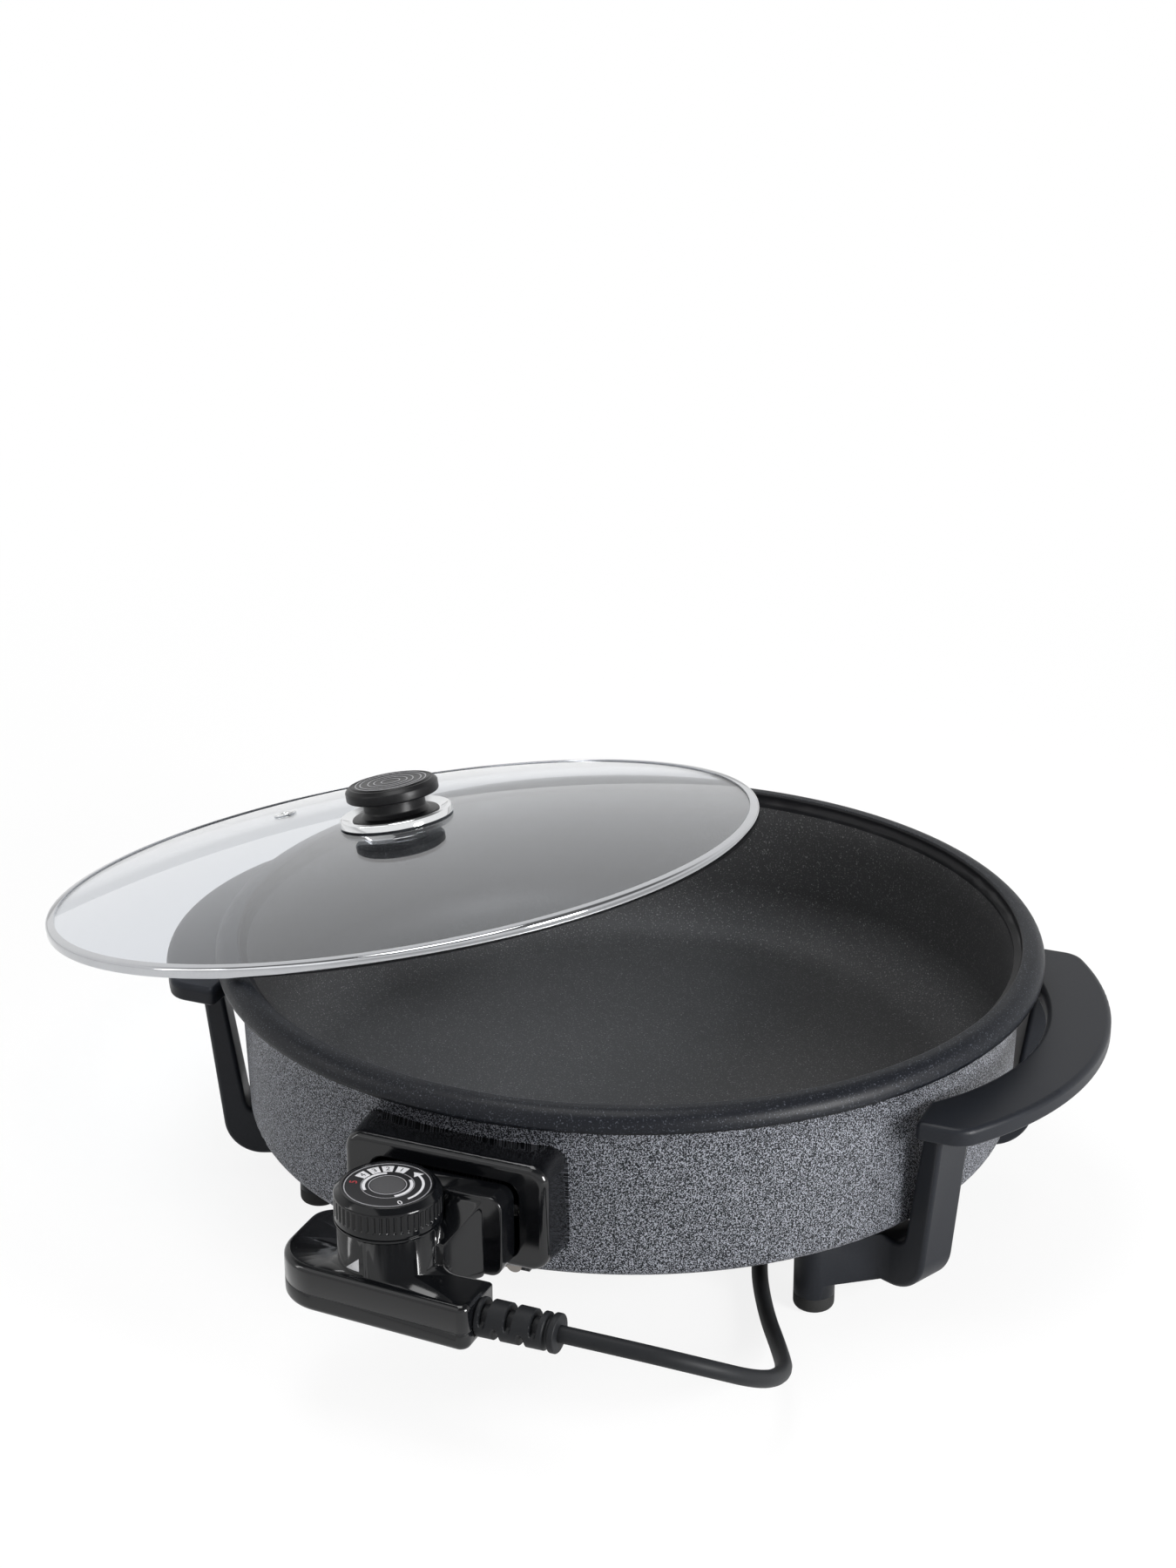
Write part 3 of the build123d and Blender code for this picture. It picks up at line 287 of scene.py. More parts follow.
# Surfaces
def rounded(corners, steps=6):
    """A profile whose corners are arcs: each corner is (across, along, radius), and an arc of that
    radius, tangent to both neighbouring lines, takes the place of a corner with a radius."""
    places = np.array([corner[:2] for corner in corners], float)
    radii = [corner[2] if len(corner) > 2 else 0.0 for corner in corners]
    pieces = []
    for index, radius in enumerate(radii):
        here = places[index]
        if radius == 0:
            pieces.append(here[None])
            continue
        back = places[index - 1] - here
        ahead = places[(index + 1) % len(places)] - here
        back = back / np.linalg.norm(back)
        ahead = ahead / np.linalg.norm(ahead)
        half = np.arccos(np.clip(back @ ahead, -1, 1)) / 2
        bisector = (back + ahead) / np.linalg.norm(back + ahead)
        centre = here + bisector * radius / np.sin(half)
        start = here + back * radius / np.tan(half) - centre
        end = here + ahead * radius / np.tan(half) - centre
        sweep = pi - 2 * half
        part = np.linspace(0, 1, steps + 1)[:, None]
        arc = (np.sin((1 - part) * sweep) * start + np.sin(part * sweep) * end) / np.sin(sweep)
        pieces.append(centre + arc)
    return np.concatenate(pieces)


def add_piece(name, mesh, material, body, sharp):
    """An object on a body, shaded smoothly but for its sharp edges."""
    mesh.shade_smooth()
    mesh.set_sharp_from_angle(angle=radians(sharp))
    mesh.materials.append(material)
    piece = bpy.data.objects.new(name, mesh)
    bpy.context.scene.collection.objects.link(piece)
    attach(piece, body)
    return piece


def build(name, points, faces, material, body, sharp=SHARP):
    """A piece from points and faces, its doubles merged, its faces turned outwards."""
    mesh = bpy.data.meshes.new(name)
    mesh.from_pydata(points.tolist(), [], [list(face) for face in faces])
    shape = bmesh.new()
    shape.from_mesh(mesh)
    bmesh.ops.remove_doubles(shape, verts=shape.verts, dist=MERGE)
    bmesh.ops.dissolve_degenerate(shape, edges=shape.edges, dist=SLIVER)
    bmesh.ops.recalc_face_normals(shape, faces=shape.faces)
    shape.to_mesh(mesh)
    shape.free()
    return add_piece(name, mesh, material, body, sharp)


def smooth_copy(node, name, material):
    """A solid's own surface with its loose triangles merged, so that its curves shade smoothly."""
    solid = frame["nodes"][node]
    shape = bmesh.new()
    shape.from_mesh(solid.data)
    bmesh.ops.remove_doubles(shape, verts=shape.verts, dist=MERGE)
    mesh = bpy.data.meshes.new(name)
    shape.to_mesh(mesh)
    shape.free()
    piece = add_piece(name, mesh, material, solid["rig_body"], SHARP_COPY)
    flats = piece.modifiers.new("flat_faces_first", "WEIGHTED_NORMAL")
    flats.weight = 100
    flats.keep_sharp = True
    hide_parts(node)


def grid_faces(rows, columns, closed):
    """Corner numbers of the quads in a grid of points. Each row joins its own start, and in a
    closed grid the last row joins the first."""
    row = np.arange(rows if closed else rows - 1)[:, None]
    column = np.arange(columns)[None, :]
    next_row = (row + 1) % rows
    next_column = (column + 1) % columns
    corners = (
        row * columns + column,
        next_row * columns + column,
        next_row * columns + next_column,
        row * columns + next_column,
    )
    size = (row.size, column.size)
    return np.stack([np.broadcast_to(part, size) for part in corners], -1).reshape(-1, 4)


def turned(name, seat, profile, sides, material, body, relief=None, sharp=SHARP):
    """A profile of (radius, height) points turned about a seat's axis: the point at angle a is
    (r cos a, r sin a, h). A relief, a function of angle, height and radius, is taken off r."""
    angle = np.linspace(0, 2 * pi, sides, endpoint=False)[:, None]
    radius = np.broadcast_to(profile[:, 0], (sides, len(profile)))
    height = np.broadcast_to(profile[:, 1], (sides, len(profile)))
    if relief is not None:
        radius = radius - relief(angle, height, radius)
    points = np.stack((radius * np.cos(angle), radius * np.sin(angle), height), -1)
    faces = grid_faces(sides, len(profile), True)
    return build(name, seat.place(points.reshape(-1, 3)), faces, material, body, sharp)


def printed_bar(name, seat, angle, inner, outer, low, high, material, body):
    """A thin curved bar of ink: at each angle a rectangle from the inner to the outer radius and
    from the low to the high level, each of these one number or one for every angle."""
    near, far, foot, top = np.broadcast_arrays(inner, outer, low, high, angle)[:4]
    radius = np.stack((near, far, far, near), 1)
    height = np.stack((foot, foot, top, top), 1)
    turn = angle[:, None]
    points = np.stack((radius * np.cos(turn), radius * np.sin(turn), height), -1).reshape(-1, 3)
    faces = grid_faces(len(angle), 4, False).tolist()
    faces.append([0, 1, 2, 3])
    faces.append([len(points) - 4 + corner for corner in (3, 2, 1, 0)])
    build(name, seat.place(points), faces, material, body)


# Finishes
class Field:
    """A value that changes over a surface. Arithmetic on it adds Math nodes."""

    def __init__(self, finish, socket):
        self.finish = finish
        self.socket = socket

    def math(self, operation, *terms):
        """The result of a Math node."""
        return self.finish.node("ShaderNodeMath", {"operation": operation}, dict(enumerate(terms)))

    def __add__(self, other):
        return self.math("ADD", self, other)

    def __radd__(self, other):
        return self.math("ADD", other, self)

    def __sub__(self, other):
        return self.math("SUBTRACT", self, other)

    def __rsub__(self, other):
        return self.math("SUBTRACT", other, self)

    def __mul__(self, other):
        return self.math("MULTIPLY", self, other)

    def __rmul__(self, other):
        return self.math("MULTIPLY", other, self)

    def __pow__(self, other):
        return self.math("POWER", self, other)

    def __abs__(self):
        return self.math("ABSOLUTE", self)

    def most(self, other):
        """The larger of two values."""
        return self.math("MAXIMUM", self, other)

    def above(self, edge, blur=0.1 * MM):
        """One where the value is over an edge and nought where it is under, with a narrow ramp."""
        return self.ramp(edge - blur, edge + blur)

    def ramp(self, low, high):
        """Nought up to the low value, one from the high value on, and a smooth rise between."""
        sockets = {"Value": self, "From Min": low, "From Max": high}
        return self.finish.node("ShaderNodeMapRange", {"interpolation_type": "SMOOTHSTEP"}, sockets)


class Finish:
    """One material, or the surroundings, made of nodes."""

    def __init__(self, name, kind="materials"):
        self.material = getattr(bpy.data, kind).new(name)
        self.material.use_nodes = True
        self.tree = self.material.node_tree
        self.tree.nodes.clear()

    def node(self, kind, settings=None, sockets=None, out=0):
        """A node of a kind, with its settings and then its sockets' values or links."""
        made = self.tree.nodes.new(kind)
        for name, value in (settings or {}).items():
            setattr(made, name, value)
        for name, value in (sockets or {}).items():
            if isinstance(value, Field):
                self.tree.links.new(value.socket, made.inputs[name])
            else:
                made.inputs[name].default_value = value
        return None if out is None else Field(self, made.outputs[out])

    def place(self):
        """The object's own coordinates."""
        return self.node("ShaderNodeTexCoord", out="Object")

    def axes(self):
        """The object's own coordinates as three values."""
        place = self.place()
        return [self.node("ShaderNodeSeparateXYZ", None, {0: place}, axis) for axis in range(3)]

    def noise(self, size, detail=2.0, distortion=0.0, stretch=None):
        """Cloudy noise whose features are about a size across."""
        place = self.place()
        if stretch is not None:
            sockets = {0: place, 1: stretch}
            place = self.node("ShaderNodeVectorMath", {"operation": "MULTIPLY"}, sockets)
        sockets = {"Vector": place, "Scale": 1 / size, "Detail": detail, "Distortion": distortion}
        return self.node("ShaderNodeTexNoise", None, sockets)

    def ray(self, kind):
        """One for rays of a kind, such as Camera or Glossy, and nought for others."""
        return self.node("ShaderNodeLightPath", out=f"Is {kind} Ray")

    def blend(self, share, first, second):
        """A colour between two, by a share."""
        sockets = {0: share, 6: first, 7: second}
        return self.node("ShaderNodeMix", {"data_type": "RGBA"}, sockets, 2)

    def bump(self, height, strength, depth):
        """Small relief for a surface's Normal socket."""
        sockets = {"Height": height, "Strength": strength, "Distance": depth}
        return self.node("ShaderNodeBump", None, sockets)

    def mix(self, share, first, second):
        """A shader between two, by a share."""
        return self.node("ShaderNodeMixShader", None, {0: share, 1: first, 2: second})

    def surface(self, **sockets):
        """The finished surface from a Principled shader's sockets, named with underscores."""
        named = {name.replace("_", " "): value for name, value in sockets.items()}
        shader = self.node("ShaderNodeBsdfPrincipled", None, named)
        return self.wear(shader)

    def wear(self, shader, output="ShaderNodeOutputMaterial"):
        """The material, with a shader as its surface."""
        self.node(output, None, {"Surface": shader}, None)
        return self.material


def colour(red, green, blue):
    """An opaque colour."""
    return (red, green, blue, 1.0)


def cast_coat():
    """Pan: silver hammertone outside, dark flecked coat on the rim and inside, a near-black ring at
    the lid seat.
    """
    finish = Finish("cast_coat")
    x, y, z = finish.axes()
    radius = (x * x + y * y) ** 0.5
    wall = radius.above(WALL_RADIUS) * (1 - z.above(WALL_TOP))
    corner = radius.above(CORNER_RADIUS, CORNER_BLUR) * (1 - z.above(CORNER_TOP))
    outside = wall.most(corner)
    hammer = finish.noise(0.6 * MM, 1.0, 0.5).ramp(0.50, 0.58)
    drift = finish.noise(50 * MM, 2.0)
    fleck = finish.noise(0.8 * MM, 2.0).ramp(0.58, 0.74)
    silver = finish.blend(hammer, colour(0.003, 0.004, 0.006), colour(0.26, 0.27, 0.302))
    rim = finish.blend(fleck, colour(0.003, 0.004, 0.0065), colour(0.055, 0.061, 0.074))
    bowl = finish.blend(fleck, colour(0.034, 0.034, 0.035), colour(0.15, 0.15, 0.15))
    inside = 1 - radius.above(BOWL_RADIUS)
    dark = finish.blend(inside, rim, bowl)
    # A near-black ring on the step of the lid seat, just inside the rim.
    seat = radius.above(SEAT_INNER) * (1 - radius.above(SEAT_OUTER)) * z.above(SEAT_LOW)
    dark = finish.blend(seat, dark, colour(0.004, 0.004, 0.005))
    tone = finish.blend(outside, dark, silver)
    height = outside * hammer + (1 - outside) * fleck * 0.25
    return finish.surface(
        Base_Color=tone,
        Roughness=0.40 + 0.10 * drift + 0.04 * outside,
        Metallic=outside * hammer * 0.3,
        Specular_IOR_Level=0.2,
        Normal=finish.bump(height, 0.35, 0.3 * MM),
    )


def satin(name, base, light, roughness):
    """Phenolic moulding: one tone, near black on most pieces, finely grained and softly mottled."""
    finish = Finish(name)
    mottle = finish.noise(1.1 * MM, 3.0)
    cloud = finish.noise(35 * MM, 2.0)
    grain = finish.noise(0.45 * MM, 2.0)
    tone = finish.blend(mottle * 0.7 + cloud * 0.3, colour(*base), colour(*light))
    return finish.surface(
        Base_Color=tone,
        Roughness=roughness + 0.10 * mottle,
        Specular_IOR_Level=0.2,
        Normal=finish.bump(grain, 0.16, 0.12 * MM),
    )


def turned_black(name):
    """Lid knob: satin black, with a painted highlight: the crests of the rings in its top are
    painted pale in place of their glints.
    """
    finish = Finish(name)
    mottle = finish.noise(1.1 * MM, 3.0)
    grain = finish.noise(0.45 * MM, 2.0)
    away = [axis - float(start) for axis, start in zip(finish.axes(), LID_SEAT.origin)]
    along = sum(axis * float(share) for axis, share in zip(away, LID_SEAT.z_axis))
    radius = (sum(axis * axis for axis in away) - along * along) ** 0.5
    # Painted highlight: a pale tone on the crests of the rings in the top stands in for their
    # glints.
    painted_ring_glints = sum(1 - abs(radius - float(ring)).ramp(0.15 * MM, 0.45 * MM) for ring in KNOB_RINGS)
    painted_ring_glints = painted_ring_glints * along.above(KNOB_TOP - 1.0 * MM) * (0.4 + 0.6 * mottle)
    black = finish.blend(mottle, colour(0.004, 0.004, 0.0045), colour(0.010, 0.010, 0.011))
    return finish.surface(
        # The pale grey here is the painted highlight on the ring crests.
        Base_Color=finish.blend(painted_ring_glints, black, colour(0.48, 0.48, 0.50)),
        Roughness=0.30 + 0.10 * mottle,
        Specular_IOR_Level=0.22,
        Normal=finish.bump(grain, 0.16, 0.12 * MM),
    )


def gloss_black(name, groove_height=None, sheen=0.42):
    """Polished black moulding with faint unevenness; a groove marks where two shells meet."""
    finish = Finish(name)
    cloud = finish.noise(18 * MM, 2.0)
    dust = finish.noise(0.6 * MM, 1.0).ramp(0.74, 0.80)
    deep = colour(0.0022, 0.0024, 0.003)
    tone = finish.blend(cloud * 0.8 + dust * 0.2, deep, colour(0.005, 0.0055, 0.0065))
    rough = 0.09 + 0.06 * cloud + 0.15 * dust
    height = cloud * 0.15
    if groove_height is not None:
        z = finish.axes()[2]
        groove = 1 - abs(z - groove_height).ramp(0.05 * MM, 0.35 * MM)
        height = height - groove * 3
        rough = rough + groove * 0.5
    return finish.surface(
        Base_Color=tone,
        Roughness=rough,
        Specular_IOR_Level=sheen,
        Normal=finish.bump(height, 0.5, 0.15 * MM),
    )


def lid_glass_finish():
    """Clear toughened glass with faint wipe marks. Lamps shine through it."""
    finish = Finish("clear_glass")
    wipe = finish.noise(30 * MM, 3.0, 1.5, (1.0, 3.0, 1.0))
    glass = finish.node(
        "ShaderNodeBsdfPrincipled",
        None,
        {
            "Base Color": colour(0.68, 0.705, 0.745),
            "Roughness": wipe.ramp(0.45, 0.8) * 0.035,
            "IOR": 1.47,
            "Transmission Weight": 1.0,
        },
    )
    clear = finish.node("ShaderNodeBsdfTransparent", None, {0: colour(0.94, 0.96, 0.97)})
    return finish.wear(finish.mix(finish.ray("Shadow"), glass, clear))


def bright_metal(name, tone, roughness, stretch=(1.0, 1.0, 1.0)):
    """Polished or brushed metal: fine marks in its gloss and a slight drift of tone."""
    finish = Finish(name)
    marks = finish.noise(1.2 * MM, 3.0, 0.0, stretch)
    drift = finish.noise(20 * MM, 2.0)
    dull = tuple(part * 0.82 for part in tone)
    shade = finish.blend(drift * 0.6 + marks * 0.4, colour(*tone), colour(*dull))
    return finish.surface(
        Base_Color=shade,
        Roughness=roughness * (0.7 + 0.6 * marks),
        Metallic=1.0,
        Normal=finish.bump(marks, 0.05, 0.05 * MM),
    )


def rubber(name, base, light, roughness):
    """Moulded rubber: dull black with a powdery grain."""
    finish = Finish(name)
    powder = finish.noise(0.8 * MM, 3.0)
    cloud = finish.noise(12 * MM, 2.0)
    tone = finish.blend(powder * 0.5 + cloud * 0.5, colour(*base), colour(*light))
    return finish.surface(
        Base_Color=tone,
        Roughness=roughness + 0.15 * powder,
        Specular_IOR_Level=0.18,
        Normal=finish.bump(powder, 0.2, 0.1 * MM),
    )


def print_ink(name, tone, worn):
    """Printed ink: a flat tone broken by fine wear."""
    finish = Finish(name)
    wear = finish.noise(0.5 * MM, 3.0).ramp(0.45, 0.8)
    shade = finish.blend(wear, colour(*tone), colour(*worn))
    return finish.surface(Base_Color=shade, Roughness=0.45 + 0.1 * wear)


cast = cast_coat()
handle_black = satin("handle_black", (0.005, 0.006, 0.0085), (0.012, 0.0135, 0.0175), 0.36)
knob_black = turned_black("knob_black")
housing_gloss = gloss_black("housing_gloss")
control_gloss = gloss_black("control_gloss", PARTING)
dial_gloss = gloss_black("dial_gloss", sheen=0.28)
glass = lid_glass_finish()
band_steel = bright_metal("band_steel", (0.52, 0.53, 0.55), 0.06)
dish_chrome = bright_metal("dish_chrome", (0.82, 0.83, 0.84), 0.07)
zinc = bright_metal("zinc", (0.52, 0.52, 0.53), 0.32)
nickel = bright_metal("nickel", (0.70, 0.68, 0.62), 0.22)
brass = bright_metal("brass", (0.72, 0.56, 0.28), 0.25)
probe_metal = bright_metal("probe_metal", (0.68, 0.68, 0.69), 0.2)
element_steel = bright_metal("element_steel", (0.30, 0.28, 0.26), 0.45, (3.0, 3.0, 3.0))
cord_rubber = rubber("cord_rubber", (0.005, 0.0055, 0.0065), (0.013, 0.014, 0.016), 0.45)
foot_rubber = rubber("foot_rubber", (0.012, 0.012, 0.012), (0.028, 0.028, 0.028), 0.62)
gasket = rubber("gasket_silicone", (0.035, 0.035, 0.037), (0.07, 0.07, 0.07), 0.5)
switch_white = satin("switch_white", (0.55, 0.52, 0.45), (0.66, 0.63, 0.56), 0.5)
plate_black = satin("plate_black", (0.007, 0.007, 0.008), (0.018, 0.018, 0.020), 0.34)
plate_grey = satin("plate_grey", (0.045, 0.045, 0.048), (0.075, 0.075, 0.078), 0.45)
plug_black = satin("plug_black", (0.013, 0.013, 0.014), (0.026, 0.026, 0.028), 0.38)
white_ink = print_ink("white_ink", (0.62, 0.62, 0.64), (0.42, 0.42, 0.44))
grey_ink = print_ink("grey_ink", (0.34, 0.34, 0.36), (0.20, 0.20, 0.21))
red_ink = print_ink("red_ink", (0.40, 0.030, 0.035), (0.24, 0.02, 0.025))
black_ink = print_ink("black_ink", (0.010, 0.010, 0.011), (0.04, 0.04, 0.042))


# Camera
def add_camera():
    """The photograph's camera."""
    lens = bpy.data.cameras.new("camera")
    lens.lens = CAMERA_LENS
    lens.sensor_width = CAMERA_SENSOR
    lens.sensor_fit = "HORIZONTAL"
    camera = bpy.data.objects.new("camera", lens)
    camera.location = CAMERA_PLACE
    camera.rotation_euler = (radians(CAMERA_PITCH), 0, radians(CAMERA_YAW))
    bpy.context.scene.collection.objects.link(camera)
    bpy.context.scene.camera = camera


add_camera()


# Cord: one smooth curve along the route, round the coil and out to the plug
def coil_points():
    """The coil's centre line: the radius falls by a step a turn until the spiral reverses and then
    grows again, while the line climbs one step in the half turn about the reversal."""
    turn = np.linspace(0, COIL_TURNS, int(COIL_POINTS_A_TURN * COIL_TURNS) + 1)
    radius = COIL_RADIUS - COIL_STEP * (COIL_REVERSAL - np.abs(turn - COIL_REVERSAL))
    climb = np.clip(turn - COIL_REVERSAL + COIL_CLIMB_TURNS / 2, 0, COIL_CLIMB_TURNS)
    height = COIL_REST + COIL_STEP * (1 - np.cos(pi * climb / COIL_CLIMB_TURNS)) / 2
    angle = 2 * pi * turn
    across = COIL_CENTRE[0] + radius * np.cos(angle)
    along = COIL_CENTRE[1] + radius * np.sin(angle)
    return np.stack((across, along, height), 1)


def add_cord():
    """The cord as one NURBS curve whose control points are the route's."""
    line = bpy.data.curves.new("cord_line", "CURVE")
    line.dimensions = "3D"
    line.bevel_depth = CORD_RADIUS
    line.bevel_resolution = 6
    line.resolution_u = 10
    line.use_fill_caps = True
    points = np.concatenate((np.array(CORD_ROUTE), coil_points(), np.array(TAIL_ROUTE))) * MM
    weighted = np.concatenate((points, np.ones((len(points), 1))), 1)
    spline = line.splines.new("NURBS")
    spline.points.add(len(points) - 1)
    spline.points.foreach_set("co", weighted.ravel())
    spline.order_u = 3
    spline.use_endpoint_u = True
    spline.use_smooth = True
    line.materials.append(cord_rubber)
    cord = bpy.data.objects.new("mains_cord", line)
    bpy.context.scene.collection.objects.link(cord)
    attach(cord, "control")
    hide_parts("cord", "cord_coil", "cord_tail")
    return cord


cord = add_cord()


# Pan, handles, socket housing and control shells
smooth_copy("pan", "cast_pan", cast)
smooth_copy("right_handle", "right_handle_moulding", handle_black)
smooth_copy("left_handle", "left_handle_moulding", handle_black)
smooth_copy("socket_housing", "socket_frame", housing_gloss)
smooth_copy("control_upper_shell", "control_top", control_gloss)
smooth_copy("control_lower_shell", "control_base", control_gloss)


# Feet
def add_foot(node):
    """A rubber cap with a rounded tread and a stem."""
    low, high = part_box(node)
    seat = Seat(((low.x + high.x) / 2, (low.y + high.y) / 2, 0))
    radius = (high.x - low.x) / 2
    profile = rounded(
        [
            (0, low.z),
            (radius, low.z, 3 * MM),
            (radius, FOOT_TREAD, 0.5 * MM),
            (FOOT_STEM, FOOT_TREAD),
            (FOOT_STEM, high.z),
            (0, high.z),
        ]
    )
    name = f"{node}_cap"
    foot = turned(name, seat, profile, FOOT_SIDES, foot_rubber, "pan_body")
    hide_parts(node)


for end in ("front", "back"):
    for side in ("left", "right"):
        add_foot(f"{end}_{side}_foot")


# Lid
def glass_under(radius):
    """Height of the dome's underside at a radius: a cap of a sphere above the band."""
    return GLASS_EDGE + GLASS_DOME - GLASS_SPHERE + np.sqrt(GLASS_SPHERE**2 - radius**2)


def add_glass():
    """The dome: its underside from the hole outwards, a rounded edge and its top back again."""
    brink = GLASS_RADIUS - GLASS_ROUND
    out = np.linspace(GLASS_HOLE, brink, GLASS_STEPS)
    under = np.stack((out, glass_under(out)), 1)
    bend = np.linspace(-pi / 2, pi / 2, GLASS_EDGE_STEPS)
    half = GLASS_THICKNESS / 2
    edge_height = glass_under(brink) + half + half * np.sin(bend)
    edge = np.stack((brink + GLASS_ROUND * np.cos(bend), edge_height), 1)
    over = np.stack((out[::-1], glass_under(out[::-1]) + GLASS_THICKNESS), 1)
    profile = np.concatenate((under, edge[1:-1], over))
    dome = turned(
        "glass_dome", LID_SEAT, profile, GLASS_SIDES, glass, "lid", sharp=SHARP_CURVED
    )
    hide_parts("lid_glass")


def add_band():
    """Rolled steel band: a fold that holds the glass's edge from below, outside and above."""
    slot_radius = GLASS_RADIUS + FIT
    slot_low = glass_under(GLASS_RADIUS) - FIT
    slot_high = glass_under(GLASS_RADIUS) + GLASS_THICKNESS + FIT
    lip_low = glass_under(BAND_INNER) - FIT
    lip_high = glass_under(BAND_INNER) + GLASS_THICKNESS + FIT
    profile = rounded(
        [
            (BAND_INNER, BAND_FOOT, 0.3 * MM),
            (BAND_RADIUS, BAND_FOOT, 1.2 * MM),
            (BAND_RADIUS, BAND_CREST, 1.8 * MM),
            (BAND_INNER, BAND_CREST + BAND_LIP, 0.2 * MM),
            (BAND_INNER, lip_high),
            (slot_radius, slot_high),
            (slot_radius, slot_low),
            (BAND_INNER, lip_low),
        ]
    )
    band = turned(
        "steel_band", LID_SEAT, profile, BAND_SIDES, band_steel, "lid",
        sharp=SHARP_BAND,
    )
    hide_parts("lid_band")


def add_eyelet():
    """Vent eyelet: a rolled ring through the glass, square to the dome."""
    x, y = VENT_PLACE
    away = np.hypot(x, y)
    normal = LID_SEAT.place((x, y, np.sqrt(GLASS_SPHERE**2 - away**2))) - LID_SEAT.origin
    middle = LID_SEAT.place((x, y, glass_under(away) + GLASS_THICKNESS / 2))
    seat = Seat(middle, normal, LID_SEAT.x_axis)
    half = GLASS_THICKNESS / 2 + FIT
    rim = half + VENT_LIP
    profile = rounded(
        [
            (VENT_BORE, -rim, 0.6 * MM),
            (VENT_FLANGE, -rim, 0.45 * MM),
            (VENT_FLANGE, -half, 0.2 * MM),
            (VENT_BARREL, -half),
            (VENT_BARREL, half),
            (VENT_FLANGE, half, 0.2 * MM),
            (VENT_FLANGE, rim, 0.45 * MM),
            (VENT_BORE, rim, 0.6 * MM),
        ],
        steps=4,
    )
    eyelet = turned("steam_eyelet", seat, profile, VENT_SIDES, dish_chrome, "lid")
    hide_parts("vent_eyelet")


def add_dish():
    """Chrome dish under the knob: a straight skirt that leans in, a raised rim and a flat floor."""
    profile = rounded(
        [
            (BORE_RADIUS, DISH_LOW),
            (DISH_RADIUS, DISH_LOW, 0.4 * MM),
            (DISH_RADIUS - 0.9 * MM, DISH_LOW + 3.7 * MM, 0.9 * MM),
            (DISH_RADIUS - 2.2 * MM, DISH_LOW + 4.5 * MM, 0.7 * MM),
            (DISH_RADIUS - 5.4 * MM, DISH_LOW + 2.8 * MM, 1 * MM),
            (DISH_FLOOR, KNOB_LOW, 0.5 * MM),
            (BORE_RADIUS, KNOB_LOW),
        ]
    )
    dish = turned(
        "chrome_dish", LID_SEAT, profile, DISH_SIDES, dish_chrome, "lid"
    )
    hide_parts("knob_dish")


def add_knob():
    """Mushroom knob. Its face is sunk, and its rings rise from it as bell curves: the height at a
    radius r is the depth times the sum of exp(-((r - ring) / half width)^2)."""
    outline = rounded(
        [
            (BORE_RADIUS, KNOB_LOW),
            (KNOB_FOOT, KNOB_LOW, 0.2 * MM),
            (KNOB_FOOT - 0.7 * MM, KNOB_LOW + 0.9 * MM, 0.4 * MM),
            (KNOB_NECK + 2 * MM, KNOB_LOW + 1.5 * MM, 1 * MM),
            (KNOB_NECK, KNOB_LOW + 4 * MM, 2 * MM),
            (KNOB_NECK, KNOB_TOP - KNOB_CAP, 0.8 * MM),
            (KNOB_RADIUS, KNOB_TOP - KNOB_CAP, 1.2 * MM),
            (KNOB_RADIUS, KNOB_TOP - KNOB_BEVEL, 1.2 * MM),
            (KNOB_RADIUS - KNOB_BEVEL, KNOB_TOP, 1.2 * MM),
        ]
    )
    radius = np.linspace(KNOB_FACE, 0, KNOB_FACE_STEPS)
    ridges = np.exp(-(((radius[:, None] - KNOB_RINGS) / KNOB_RING_HALF) ** 2)).sum(1)
    sunk = KNOB_FACE_DEPTH * np.clip((KNOB_FACE - radius) / KNOB_FACE_EDGE, 0, 1)
    face = np.stack((radius, KNOB_TOP - sunk * (1 - ridges)), 1)
    bore_top = KNOB_LOW + BORE_DEPTH
    hollow = np.array([(0, bore_top), (BORE_RADIUS, bore_top)])
    profile = np.concatenate((outline, face, hollow))
    knob = turned(
        "mushroom_knob", LID_SEAT, profile, KNOB_SIDES, knob_black, "lid"
    )
    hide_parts("lid_knob")


add_glass()
add_band()
add_eyelet()
add_dish()
add_knob()


